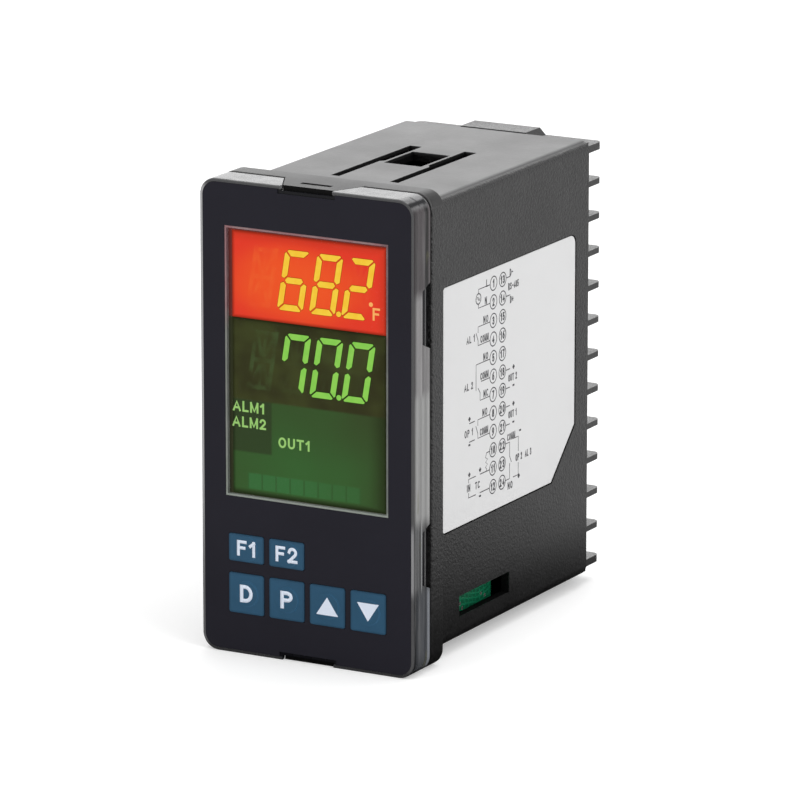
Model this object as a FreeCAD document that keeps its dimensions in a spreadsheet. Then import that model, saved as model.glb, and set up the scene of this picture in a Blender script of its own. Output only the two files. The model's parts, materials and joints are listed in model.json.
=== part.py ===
import FreeCAD, Part
import math
import os
import sys

import Sketcher
from FreeCAD import Placement, Rotation, Vector

# Panel-mounted temperature controller, 1/8 DIN upright format.
# Frame: +X right seen from the front, +Y backwards through the panel, +Z up.
# Origin: centre of the panel's front surface, which the flange's back face seats on.
# Everything is in millimetres.

doc = FreeCAD.newDocument("temperature_controller")
dims = doc.addObject("Spreadsheet::Sheet", "dims")

DRIVING_SIZES = [
    # front: clear bezel moulding, printed film, seal and flange
    ("front_width", 48.0), ("front_height", 96.0), ("corner_radius", 3.5),
    ("rim_depth", 6.5), ("rim_wall", 2.0), ("front_edge_radius", 0.3),
    ("plate_thick", 1.5), ("film_thick", 0.25), ("film_lip", 0.62), ("film_gap", 0.05),
    ("seal_thick", 0.8), ("seal_inset", 1.2), ("seal_width", 1.6),
    ("flange_depth", 4.8), ("flange_edge_radius", 0.4),
    # finger recesses in the rear edge of the bezel's sides
    ("grip_low", 17.6), ("grip_high", 30.8), ("grip_reach", 3.1), ("grip_depth", 1.0), ("grip_slant", 1.3),
    # latch tongues of the case over the top and bottom of the bezel
    ("tongue_thick", 1.0), ("tongue_setback", 0.9), ("tongue_tip_half", 5.6), ("tongue_root_half", 8.8),
    ("tongue_gap", 0.25), ("slit_half", 3.3), ("slit_width", 0.5), ("slit_setback", 3.3),
    # case behind the panel
    ("flange_side", 2.0), ("flange_over", 2.4), ("body_depth", 65.0), ("body_radius", 2.0),
    ("case_wall", 1.8), ("cavity_radius", 0.8), ("mouth_gap", 0.2),
    # slots for the panel clips, cut in the top and the bottom wall
    ("clip_outer", 7.6), ("clip_slot_width", 1.9), ("clip_slot_wide", 2.7), ("clip_start", 11.1),
    ("clip_end", 43.6), ("clip_step", 27.4), ("clip_step_run", 1.0),
    ("latch_width", 8.5), ("latch_start", 26.6), ("latch_end", 38.6),
    # slots low in the two side walls
    ("side_slot_start", 10.2), ("side_slot_end", 31.2), ("side_slot_floor", 4.7), ("side_slot_height", 4.3),
    # wiring label, in a shallow recess in the right wall
    ("label_start", 3.4), ("label_back_margin", 5.6), ("label_top_margin", 18.25),
    ("label_low_margin", 23.3), ("label_front_radius", 1.0), ("label_back_radius", 2.0),
    ("label_bevel", 10.1), ("label_thick", 0.15), ("label_recess", 0.3), ("label_gap", 0.25),
    # ribs that guide the two upright boards
    ("guide_height", 2.5), ("guide_thick", 1.1), ("guide_gap", 0.15), ("guide_start", 10.0),
    ("guide_back_gap", 2.0), ("guide_low_start", 47.0),
    # display window and keys in the face
    ("window_left_margin", 5.55), ("window_right_margin", 5.8),
    ("window_top_margin", 9.2), ("window_low_margin", 32.2),
    ("window_gap", 0.05), ("window_setback", 0.1), ("window_thick", 0.75),
    ("key_width", 7.9), ("key_height", 8.2), ("small_key_height", 5.6), ("key_spacing", 9.2),
    ("key_row_height", 12.5), ("small_key_row_height", 21.8), ("key_radius", 0.5), ("key_proud", 0.12),
    ("key_cap", 0.5), ("key_gap", 0.08), ("key_travel", 0.4), ("key_seat", 1.0),
    ("dome_radius", 2.6), ("dome_rise", 0.1), ("stem_radius", 1.6), ("stem_gap", 0.05), ("stem_reach", 3.2),
    ("collar_radius", 2.3), ("collar_thick", 0.8), ("collar_gap", 0.05),
    # display stack
    ("lit_left_margin", 1.15), ("lit_right_margin", 0.85), ("lit_low_margin", 0.5), ("lit_top_margin", 0.9),
    ("upper_field_drop", 18.4),
    ("field_thick", 0.1), ("segment_thick", 0.08), ("segment_gap", 0.08),
    ("lcd_gap", 0.15), ("lcd_thick", 2.0), ("guide_plate", 3.0), ("guide_inset", 0.4), ("guide_foot", 1.2),
    # lit numerals
    ("digit_height", 12.2), ("digit_width", 5.75), ("digit_spacing", 7.2), ("digit_lean", 0.165),
    ("stroke", 1.2), ("stroke_gap", 0.13), ("stroke_cut", 0.5), ("stroke_joint", 0.4), ("digit_x", 3.9),
    ("upper_digit_drop", 9.75), ("lower_digit_drop", 8.1), ("point_radius", 0.55), ("point_shift", 2.8),
    ("point_lift", 0.6),
    # front carrier, display board and what is on it
    ("carrier_gap", 0.2), ("carrier_wall", 1.6), ("sleeve_reach", 6.0), ("switch_room", 6.7),
    ("board_thick", 1.6), ("board_setback", 8.0), ("board_gap", 0.15),
    ("switch_side", 6.0), ("switch_body", 3.4), ("switch_gap", 0.1), ("switch_nose_radius", 1.75),
    ("led_long", 3.0), ("led_wide", 1.4), ("led_tall", 0.9),
    # upright boards and the parts on them
    ("upright_side_gap", 2.6), ("upright_end_gap", 1.4), ("upright_front_gap", 0.5),
    ("upright_clear", 0.3), ("upright_shoulder", 6.6), ("upright_notch_start", 31.7),
    ("upright_notch_end", 46.0), ("upright_notch_floor", 11.6),
    ("header_side", 2.5), ("header_length", 25.4),
    ("relay_gap", 1.0), ("relay_deep", 10.2), ("relay_long", 18.0), ("relay_spacing", 20.5),
    ("relay_setback", 20.0),
    ("core_gap", 1.5), ("core_deep", 6.0), ("core_long", 20.0), ("core_setback", 26.0), ("core_z", -4.0),
    ("bobbin_gap", 2.5), ("bobbin_deep", 17.0), ("bobbin_long", 14.0), ("bobbin_lift", 1.5),
    ("bulk_radius", 6.3), ("bulk_tall", 20.0), ("bulk_y", 14.0), ("bulk_z", -24.0),
    ("can_radius", 3.15), ("can_tall", 8.0), ("can_y", 14.0), ("can_z", 2.0), ("can_spacing", 9.0),
    ("disc_radius", 5.0), ("disc_thick", 4.0), ("disc_setback", 10.0), ("disc_z", 30.0),
    ("fuse_radius", 2.6), ("fuse_long", 12.0), ("fuse_setback", 24.0), ("fuse_z", 22.0),
    ("chip_side", 10.0), ("chip_tall", 1.4), ("chip_y", 18.0), ("chip_z", 24.0),
    ("opto_long", 6.5), ("opto_deep", 4.6), ("opto_tall", 3.5), ("opto_y", 22.0), ("opto_z", -10.0),
    ("opto_spacing", 7.5),
    # rear terminal block
    ("plug_depth", 5.0), ("plug_gap", 0.1), ("back_thick", 1.0), ("block_side_gap", 0.7),
    ("block_end_gap", 0.5), ("rib_width", 16.4), ("rib_corner", 1.3), ("fin_reach", 6.2),
    ("fin_thick", 1.2), ("end_fin_thick", 1.5), ("fin_tip_radius", 1.5), ("end_fin_margin", 1.6),
    ("screw_margin", 8.4), ("screw_hole_radius", 1.5), ("screw_hole_depth", 5.0),
    ("tab_thick", 0.8), ("tab_gap", 0.8), ("tab_side_gap", 0.325), ("tab_hole_radius", 1.6),
    ("tail_thick", 0.8), ("tail_height", 1.5), ("tail_gap", 0.1), ("tail_lap", 4.5),
    ("screw_head_radius", 2.6), ("screw_head_height", 1.3), ("screw_crown_radius", 1.9),
    ("screw_crown_height", 0.6), ("screw_shank_radius", 1.42), ("screw_length", 5.0),
    ("screw_slot_width", 0.8), ("screw_slot_depth", 0.9), ("screw_slot_length", 3.4),
]

for row, (alias, number) in enumerate(DRIVING_SIZES, start=1):
    dims.set(f"A{row}", alias)
    dims.set(f"B{row}", str(number))
    dims.setAlias(f"B{row}", alias)
doc.recompute()

KEY_COLUMNS = {"left": -1.5, "mid_left": -0.5, "mid_right": 0.5, "right": 1.5}
TERMINAL_ROWS = 12


class Size:
    """A length known as a number and as the sheet expression that gives it."""

    def __init__(self, number, text):
        self.number = number
        self.text = text

    @staticmethod
    def of(value):
        if isinstance(value, Size):
            return value
        return Size(float(value), repr(float(value)))

    def join(self, other, sign, number):
        return Size(number, f"({self.text} {sign} {Size.of(other).text})")

    def __add__(self, other):
        return self.join(other, "+", self.number + Size.of(other).number)

    def __sub__(self, other):
        return self.join(other, "-", self.number - Size.of(other).number)

    def __mul__(self, other):
        return self.join(other, "*", self.number * Size.of(other).number)

    def __truediv__(self, other):
        return self.join(other, "/", self.number / Size.of(other).number)

    def __neg__(self):
        return Size(-self.number, f"(0 - {self.text})")


class Sheet:
    """Reads each driving size from the spreadsheet by its name."""

    def __getattr__(self, alias):
        return Size(float(dims.get(alias)), f"dims.{alias}")


d = Sheet()
ZERO = Size.of(0)


def bind(target, name, size):
    """Ties one property of an object to the sheet."""
    target.setExpression(name, Size.of(size).text)


# ---------------------------------------------------------------------------------------
# Sketch outlines: closed, fully constrained loops whose sizes are tied to the sheet
# ---------------------------------------------------------------------------------------

class Drawing:
    """Lines, arcs and dimensions of one sketch, collected and then added together."""

    def __init__(self):
        self.shapes = []
        self.constraints = []
        self.expressions = {}

    def shape(self, shape):
        self.shapes.append(shape)
        return len(self.shapes) - 1

    def join(self, kind, first, first_end, second, second_end):
        self.constraints.append(Sketcher.Constraint(kind, first, first_end, second, second_end))

    def tie(self, size, kind, *where):
        """Dimension whose value follows a size."""
        self.expressions[len(self.constraints)] = size.text
        self.constraints.append(Sketcher.Constraint(kind, *where, size.number))

    def tie_point(self, shape, corner, u, v):
        """Both coordinates of a point, measured from the sketch's origin."""
        self.tie(u, "DistanceX", -1, 1, shape, corner)
        self.tie(v, "DistanceY", -1, 1, shape, corner)

    def fill(self, sketch):
        sketch.addGeometry(self.shapes, False)
        sketch.addConstraint(self.constraints)
        for index, text in self.expressions.items():
            sketch.setExpression(f"Constraints[{index}]", text)


def at(u, v):
    """Point of a sketch's plane."""
    return Vector(u.number, v.number, 0)


def polygon(points):
    """Closed polygon through the given corners."""
    corners = [(Size.of(u), Size.of(v)) for u, v in points]

    def draw(drawing):
        ends = corners[1:] + corners[:1]
        sides = [drawing.shape(Part.LineSegment(at(*start), at(*end))) for start, end in zip(corners, ends)]
        for side, following in zip(sides, sides[1:] + sides[:1]):
            drawing.join("Coincident", side, 2, following, 1)
        for side, (u, v) in zip(sides, corners):
            drawing.tie_point(side, 1, u, v)
    return draw


def rectangle(u, v, width, height):
    """Rectangle centred on u, v."""
    left, right = Size.of(u) - width / 2, Size.of(u) + width / 2
    low, high = Size.of(v) - height / 2, Size.of(v) + height / 2
    return polygon([(left, low), (right, low), (right, high), (left, high)])


def rounded(u, v, width, height, radius):
    """Rectangle with round corners, centred on u, v."""
    def draw(drawing):
        arcs = []
        for turn, (side_u, side_v) in enumerate(((1, 1), (-1, 1), (-1, -1), (1, -1))):
            centre_u = Size.of(u) + (width / 2 - radius) * side_u
            centre_v = Size.of(v) + (height / 2 - radius) * side_v
            full = Part.Circle(at(centre_u, centre_v), Vector(0, 0, 1), radius.number)
            arc = Part.ArcOfCircle(full, math.radians(90 * turn), math.radians(90 * turn + 90))
            arcs.append((drawing.shape(arc), arc, centre_u, centre_v))
        for (first, arc, centre_u, centre_v), (second, following, _, _) in zip(arcs, arcs[1:] + arcs[:1]):
            line = drawing.shape(Part.LineSegment(arc.EndPoint, following.StartPoint))
            drawing.join("Tangent", first, 2, line, 1)
            drawing.join("Tangent", line, 2, second, 1)
            drawing.tie_point(first, 3, centre_u, centre_v)
            drawing.tie(radius, "Radius", first)
    return draw


def circle(u, v, radius):
    """Full circle about u, v."""
    def draw(drawing):
        centre_u, centre_v = Size.of(u), Size.of(v)
        shape = drawing.shape(Part.Circle(at(centre_u, centre_v), Vector(0, 0, 1), radius.number))
        drawing.tie_point(shape, 3, centre_u, centre_v)
        drawing.tie(radius, "Radius", shape)
    return draw


def fill_sketch(sketch, outlines):
    """Draws every outline into a sketch."""
    drawing = Drawing()
    for draw in outlines:
        draw(drawing)
    drawing.fill(sketch)


# ---------------------------------------------------------------------------------------
# Mouldings: PartDesign bodies built from pads and pockets between two stations of an axis
# ---------------------------------------------------------------------------------------

# axis: (origin plane, which way the plane's normal points along the axis)
PLANES = {"X": ("YZ_Plane", 1), "Y": ("XZ_Plane", -1), "Z": ("XY_Plane", 1)}
pieces = []


class Moulding:
    """One PartDesign body, which becomes one node."""

    def __init__(self, label):
        self.body = doc.addObject("PartDesign::Body", label)
        self.body.Label = label
        pieces.append(self.body)

    def sketch(self, name, axis, station, outlines):
        role, facing = PLANES[axis]
        plane = next(item for item in self.body.Origin.OriginFeatures if item.Role == role)
        sketch = self.body.newObject("Sketcher::SketchObject", name + "_sketch")
        sketch.AttachmentSupport = [(plane, "")]
        sketch.MapMode = "FlatFace"
        bind(sketch, "AttachmentOffset.Base.z", Size.of(station) * facing)
        fill_sketch(sketch, outlines)
        return sketch

    def feature(self, kind, name, axis, start, end, outlines):
        start, end = Size.of(start), Size.of(end)
        feature = self.body.newObject(f"PartDesign::{kind}", name)
        feature.Profile = self.sketch(name, axis, start, outlines)
        bind(feature, "Length", end - start)
        along_normal = PLANES[axis][1] > 0
        feature.Reversed = along_normal if kind == "Pocket" else not along_normal
        doc.recompute()
        return feature

    def pad(self, name, axis, start, end, *outlines):
        """Adds material from one station of the axis to a higher one."""
        before = self.volume()
        feature = self.feature("Pad", name, axis, start, end, outlines)
        if self.volume() <= before:
            sys.exit(f"{self.body.Label}: {name} adds nothing")
        return feature

    def pocket(self, name, axis, start, end, *outlines):
        """Removes material from one station of the axis to a higher one."""
        before = self.volume()
        feature = self.feature("Pocket", name, axis, start, end, outlines)
        if self.volume() >= before:
            sys.exit(f"{self.body.Label}: {name} cuts nothing")
        return feature

    def repeat_up(self, name, pitch, count, originals):
        """Repeats features upwards at a pitch."""
        upright = next(item for item in self.body.Origin.OriginFeatures if item.Role == "Z_Axis")
        pattern = self.body.newObject("PartDesign::LinearPattern", name)
        pattern.Originals = originals
        pattern.Direction = (upright, [""])
        pattern.Occurrences = count
        bind(pattern, "Length", pitch * (count - 1))
        self.body.Tip = pattern
        doc.recompute()

    def fillet(self, name, radius, choose):
        """Rounds the edges of the tip that the test picks."""
        tip = self.body.Tip
        names = [f"Edge{i}" for i, edge in enumerate(tip.Shape.Edges, start=1) if choose(edge)]
        feature = self.body.newObject("PartDesign::Fillet", name)
        feature.Base = (tip, names)
        bind(feature, "Radius", radius)
        doc.recompute()

    def volume(self):
        shape = self.body.Shape
        return 0.0 if shape.isNull() else shape.Volume


# ---------------------------------------------------------------------------------------
# Plain pieces: Part primitives and booleans
# ---------------------------------------------------------------------------------------

def block(label, x, y, z):
    """Box between pairs of stations along the three axes."""
    box = doc.addObject("Part::Box", label)
    for side, place, (low, high) in (("Length", "x", x), ("Width", "y", y), ("Height", "z", z)):
        bind(box, side, Size.of(high) - low)
        bind(box, f"Placement.Base.{place}", low)
    return box


TURNS = {"X": Rotation(Vector(0, 1, 0), 90), "Y": Rotation(Vector(1, 0, 0), -90), "Z": Rotation()}


def rod(label, axis, base, radius, length):
    """Cylinder that runs from its base along a positive axis."""
    cylinder = doc.addObject("Part::Cylinder", label)
    cylinder.Placement = Placement(Vector(), TURNS[axis])
    bind(cylinder, "Radius", radius)
    bind(cylinder, "Height", length)
    for place, size in zip("xyz", base):
        bind(cylinder, f"Placement.Base.{place}", size)
    return cylinder


def cone(label, base, start_radius, end_radius, length):
    """Cone that runs from its base along +Y."""
    taper = doc.addObject("Part::Cone", label)
    taper.Placement = Placement(Vector(), TURNS["Y"])
    bind(taper, "Radius1", start_radius)
    bind(taper, "Radius2", end_radius)
    bind(taper, "Height", length)
    for place, size in zip("xyz", base):
        bind(taper, f"Placement.Base.{place}", size)
    return taper


def slab(label, station, thickness, outlines):
    """Separate flat solids, one an outline, that run from a station along +Y."""
    sketch = doc.addObject("Sketcher::SketchObject", label + "_sketch")
    sketch.Placement = Placement(Vector(), Rotation(Vector(1, 0, 0), 90))
    bind(sketch, "Placement.Base.y", station)
    fill_sketch(sketch, outlines)
    solid = doc.addObject("Part::Extrusion", label)
    solid.Base = sketch
    solid.DirMode = "Custom"
    solid.Dir = Vector(0, 1, 0)
    solid.Solid = True
    bind(solid, "LengthFwd", thickness)
    return solid


def cut(label, base, tool):
    """Part::Cut of two objects."""
    result = doc.addObject("Part::Cut", label)
    result.Base = base
    result.Tool = tool
    return result


def fuse(label, shapes):
    """Part::MultiFuse of several objects."""
    result = doc.addObject("Part::MultiFuse", label)
    result.Shapes = shapes
    return result


def group(label, shapes):
    """Compound of separate solids."""
    result = doc.addObject("Part::Compound", label)
    result.Links = shapes
    return result


def node(piece, label):
    """Names a finished piece and adds it to those that are written."""
    piece.Label = label
    pieces.append(piece)
    return piece


# ---------------------------------------------------------------------------------------
# Stations and shared outlines
# ---------------------------------------------------------------------------------------

front_y = ZERO - d.rim_depth - d.seal_thick - d.flange_depth
plate_back = front_y + d.plate_thick
rim_back = front_y + d.rim_depth
flange_front = ZERO - d.flange_depth
board_front = front_y + d.board_setback
board_back = board_front + d.board_thick
block_front = d.body_depth - d.plug_depth
block_face = d.body_depth + d.back_thick

body_width = d.front_width - d.flange_side * 2
body_height = d.front_height - d.flange_over * 2
body_floor = ZERO - body_height / 2
cavity_width = body_width - d.case_wall * 2
cavity_height = body_height - d.case_wall * 2
sleeve_width = cavity_width - d.mouth_gap * 2
sleeve_height = cavity_height - d.mouth_gap * 2
upright_outer = cavity_width / 2 - d.upright_side_gap
upright_inner = upright_outer - d.board_thick
upright_height = cavity_height - d.upright_end_gap * 2

# the larger parts on the boards keep their distance from the terminal block
relay_y = block_front - d.relay_setback
core_y = block_front - d.core_setback
disc_y = block_front - d.disc_setback
fuse_y = block_front - d.fuse_setback

# the window is placed from the face's edges, and the keys from its lower edge
window_left = d.window_left_margin - d.front_width / 2
window_right = d.front_width / 2 - d.window_right_margin
window_low = d.window_low_margin - d.front_height / 2
window_high = d.front_height / 2 - d.window_top_margin
key_row = d.key_row_height - d.front_height / 2
small_key_row = d.small_key_row_height - d.front_height / 2
field_divide = window_high - d.upper_field_drop

# keys: name, column, row height, key height
KEYS = [
    ("key_f1", KEY_COLUMNS["left"], small_key_row, d.small_key_height),
    ("key_f2", KEY_COLUMNS["mid_left"], small_key_row, d.small_key_height),
    ("key_d", KEY_COLUMNS["left"], key_row, d.key_height),
    ("key_p", KEY_COLUMNS["mid_left"], key_row, d.key_height),
    ("key_up", KEY_COLUMNS["mid_right"], key_row, d.key_height),
    ("key_down", KEY_COLUMNS["right"], key_row, d.key_height),
]
key_places = [(d.key_spacing * column, row, height) for _, column, row, height in KEYS]


def key_outlines(gap):
    """Outlines of the six keys, grown by a gap."""
    width = d.key_width + gap * 2
    return [rounded(x, z, width, height + gap * 2, d.key_radius) for x, z, height in key_places]


def window_outline(gap):
    """Outline of the display window, grown by a gap."""
    left, right, low, high = window_left - gap, window_right + gap, window_low - gap, window_high + gap
    return polygon([(left, low), (right, low), (right, high), (left, high)])


def tongue_outline(gap, back):
    """Plan of a latch tongue, grown by a gap, from its tip to the given station."""
    tip = front_y + d.tongue_setback - gap
    return polygon([
        (ZERO - d.tongue_root_half - gap, back), (ZERO - d.tongue_root_half - gap, flange_front),
        (ZERO - d.tongue_tip_half - gap, tip), (d.tongue_tip_half + gap, tip),
        (d.tongue_root_half + gap, flange_front), (d.tongue_root_half + gap, back),
    ])


def notch_outline(gap, front):
    """Plan of the bezel's notch round a tongue, open at the front."""
    tip = front_y + d.tongue_setback
    half = d.tongue_tip_half + gap
    root = d.tongue_root_half + gap
    return polygon([
        (ZERO - root, flange_front), (ZERO - half, tip), (ZERO - half, front),
        (half, front), (half, tip), (root, flange_front),
    ])


# ---------------------------------------------------------------------------------------
# Case: flange, latch tongues and the long housing behind the panel
# ---------------------------------------------------------------------------------------

def build_case():
    half_height = d.front_height / 2
    case = Moulding("case")
    case.pad("flange", "Y", flange_front, ZERO,
             rounded(ZERO, ZERO, d.front_width, d.front_height, d.corner_radius))
    case.fillet("flange_edges", d.flange_edge_radius,
                lambda edge: abs(edge.BoundBox.YMin - edge.BoundBox.YMax) < 1e-6)
    case.pad("housing", "Y", ZERO, d.body_depth,
             rounded(ZERO, ZERO, body_width, body_height, d.body_radius))
    case.pocket("cavity", "Y", flange_front, d.body_depth,
                rounded(ZERO, ZERO, cavity_width, cavity_height, d.cavity_radius))

    # the tongues lie flush with the flange's top and bottom
    root = flange_front + d.tongue_thick
    slit_centre = front_y + d.tongue_setback + d.slit_setback
    slit = rectangle(ZERO, slit_centre, d.slit_half * 2, d.slit_width)
    for name, low, high in (("top", half_height - d.tongue_thick, half_height),
                            ("bottom", ZERO - half_height, d.tongue_thick - half_height)):
        case.pad(name + "_tongue", "Z", low, high, tongue_outline(ZERO, root))
        case.pocket(name + "_slit", "Z", low, high, slit)

    # stepped clip slots and the square opening between them, alike in the top and bottom walls
    slots = []
    for side in (-1, 1):
        narrow = d.clip_outer - d.clip_slot_width
        wide = d.clip_outer - d.clip_slot_wide
        slots.append(polygon([
            (d.clip_outer * side, d.clip_start), (d.clip_outer * side, d.clip_end),
            (wide * side, d.clip_end), (wide * side, d.clip_step + d.clip_step_run),
            (narrow * side, d.clip_step), (narrow * side, d.clip_start),
        ]))
    latch_centre = (d.latch_start + d.latch_end) / 2
    slots.append(rectangle(ZERO, latch_centre, d.latch_width, d.latch_end - d.latch_start))
    case.pocket("clip_slots", "Z", ZERO - body_height / 2, body_height / 2, *slots)

    # low slots through both side walls
    start, end, low = d.side_slot_start, d.side_slot_end, body_floor + d.side_slot_floor
    high = low + d.side_slot_height
    side_slot = polygon([(start, low), (end, low), (end, high), (start, high)])
    case.pocket("side_slots", "X", ZERO - body_width / 2, body_width / 2, side_slot)

    # recess of the wiring label, in the right wall only
    right_wall = body_width / 2
    case.pocket("label_seat", "X", right_wall - d.label_recess, right_wall, label_outline(d.label_gap))
    round_label_corners(case, d.label_gap)

    # guide ribs each side of the upright boards, on the ceiling and at the back of the floor
    ribs = {"ceiling_ribs": (1, d.guide_start), "floor_ribs": (-1, d.guide_low_start)}
    for name, (up, start) in ribs.items():
        outlines = []
        # each rib is rooted half way into the wall
        reach = d.guide_height + d.case_wall / 2
        level = (cavity_height / 2 - d.guide_height + reach / 2) * up
        for side in (-1, 1):
            for centre in (upright_outer + d.guide_gap + d.guide_thick / 2,
                           upright_inner - d.guide_gap - d.guide_thick / 2):
                outlines.append(rectangle(centre * side, level, d.guide_thick, reach))
        case.pad(name, "Y", start, block_front - d.guide_back_gap, *outlines)


def label_outline(gap):
    """Wiring label: a rectangle with its lower rear corner cut off."""
    front, rear = d.label_start - gap, d.body_depth - d.label_back_margin + gap
    low, high = body_floor + d.label_low_margin - gap, body_height / 2 - d.label_top_margin + gap
    return polygon([
        (front, low), (rear - d.label_bevel, low), (rear, low + d.label_bevel), (rear, high), (front, high),
    ])


def round_label_corners(moulding, gap):
    """Rounds the label's two front corners and its upper rear one, in the label and in its seat."""
    seat = (body_width / 2 - d.label_recess).number
    middle = d.body_depth.number / 2

    def at_corner(edge):
        box = edge.BoundBox
        across = box.XMin > seat - 1e-6 and box.XMax - box.XMin > 1e-3
        return across and box.YMax - box.YMin < 1e-6 and box.ZMax - box.ZMin < 1e-6

    moulding.fillet("label_front_corners", d.label_front_radius + gap,
                    lambda edge: at_corner(edge) and edge.BoundBox.YMax < middle)
    moulding.fillet("label_back_corner", d.label_back_radius + gap,
                    lambda edge: at_corner(edge) and edge.BoundBox.YMax > middle and edge.BoundBox.ZMin > 0)


def build_side_label():
    label = Moulding("side_label")
    seat = body_width / 2 - d.label_recess
    label.pad("sheet", "X", seat, seat + d.label_thick, label_outline(ZERO))
    round_label_corners(label, ZERO)


# ---------------------------------------------------------------------------------------
# Front: clear bezel, film, window, keys and seal
# ---------------------------------------------------------------------------------------

def build_bezel():
    half_height = d.front_height / 2
    half_width = d.front_width / 2
    bezel = Moulding("bezel_frame")
    bezel.pad("shell", "Y", front_y, rim_back,
              rounded(ZERO, ZERO, d.front_width, d.front_height, d.corner_radius))
    bezel.fillet("front_edges", d.front_edge_radius,
                 lambda edge: edge.BoundBox.YMax < front_y.number + 1e-6)
    bezel.pocket("hollow", "Y", plate_back, rim_back,
                 rounded(ZERO, ZERO, d.front_width - d.rim_wall * 2, d.front_height - d.rim_wall * 2,
                         d.corner_radius - d.rim_wall))
    bezel.pocket("film_seat", "Y", front_y, front_y + d.film_thick, film_outline(ZERO))
    bezel.pocket("window_opening", "Y", front_y, plate_back, window_outline(d.window_gap))
    bezel.pocket("key_seats", "Y", front_y, front_y + d.key_seat, *key_outlines(d.key_gap))
    stems = [circle(x, z, d.stem_radius + d.stem_gap) for x, z, _ in key_places]
    bezel.pocket("stem_holes", "Y", front_y, plate_back, *stems)

    # notches that the latch tongues lie in
    notch = notch_outline(d.tongue_gap, front_y - d.tongue_setback)
    bezel.pocket("top_notch", "Z", half_height - d.tongue_thick, half_height, notch)
    bezel.pocket("bottom_notch", "Z", ZERO - half_height, d.tongue_thick - half_height, notch)

    # finger recesses with slanted ends, two in each side
    recesses = []
    for up in (-1, 1):
        floor = rim_back - d.grip_reach
        recesses.append(polygon([
            (rim_back, d.grip_low * up), (floor, (d.grip_low + d.grip_slant) * up),
            (floor, (d.grip_high - d.grip_slant) * up), (rim_back, d.grip_high * up),
        ]))
    bezel.pocket("right_grips", "X", half_width - d.grip_depth, half_width, *recesses)
    bezel.pocket("left_grips", "X", ZERO - half_width, d.grip_depth - half_width, *recesses)


def film_outline(gap):
    """Printed film inside the bezel's lip, shrunk by a gap."""
    inset = d.film_lip + gap
    width, height = d.front_width - inset * 2, d.front_height - inset * 2
    return rounded(ZERO, ZERO, width, height, d.corner_radius - inset)


def build_face_overlay():
    film = Moulding("face_overlay")
    film_back = front_y + d.film_thick
    film.pad("sheet", "Y", front_y, film_back, film_outline(d.film_gap))
    film.pocket("display_opening", "Y", front_y, film_back, window_outline(d.window_gap))
    film.pocket("key_openings", "Y", front_y, film_back, *key_outlines(d.key_gap))
    # the film keeps its lip round the two latch notches
    notch_half = d.tongue_tip_half + d.tongue_gap + d.film_lip
    notch_floor = d.front_height / 2 - d.tongue_thick - d.film_lip
    depth = d.tongue_thick
    notches = [rectangle(ZERO, (notch_floor + depth / 2) * up, notch_half * 2, depth) for up in (-1, 1)]
    film.pocket("latch_notches", "Y", front_y, film_back, *notches)


def build_display_window():
    window = Moulding("display_window")
    start = front_y + d.window_setback
    window.pad("lens", "Y", start, start + d.window_thick, window_outline(ZERO))


def build_keys():
    for (name, _, _, _), (x, z, height) in zip(KEYS, key_places):
        key = Moulding(name)
        cap_front = front_y - d.key_proud
        cap_back = cap_front + d.key_cap
        collar_front = plate_back + d.collar_gap
        key.pad("cap", "Y", cap_front, cap_back, rounded(x, z, d.key_width, height, d.key_radius))
        key.pad("dome", "Y", cap_front - d.dome_rise, cap_front, circle(x, z, d.dome_radius))
        key.pad("stem", "Y", cap_back, front_y + d.stem_reach, circle(x, z, d.stem_radius))
        key.pad("collar", "Y", collar_front, collar_front + d.collar_thick, circle(x, z, d.collar_radius))


def build_seal():
    seal = Moulding("bezel_seal")
    outer_width, outer_height = d.front_width - d.seal_inset * 2, d.front_height - d.seal_inset * 2
    outer_radius = d.corner_radius - d.seal_inset
    seal.pad("ring", "Y", rim_back, flange_front,
             rounded(ZERO, ZERO, outer_width, outer_height, outer_radius))
    seal.pocket("opening", "Y", rim_back, flange_front,
                rectangle(ZERO, ZERO, outer_width - d.seal_width * 2, outer_height - d.seal_width * 2))


# ---------------------------------------------------------------------------------------
# Display: colour fields, lit numerals, liquid crystal panel and its light guide
# ---------------------------------------------------------------------------------------

segment_front = front_y + d.window_setback + d.window_thick + d.segment_gap
field_front = segment_front + d.segment_thick
field_back = field_front + d.field_thick


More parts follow.
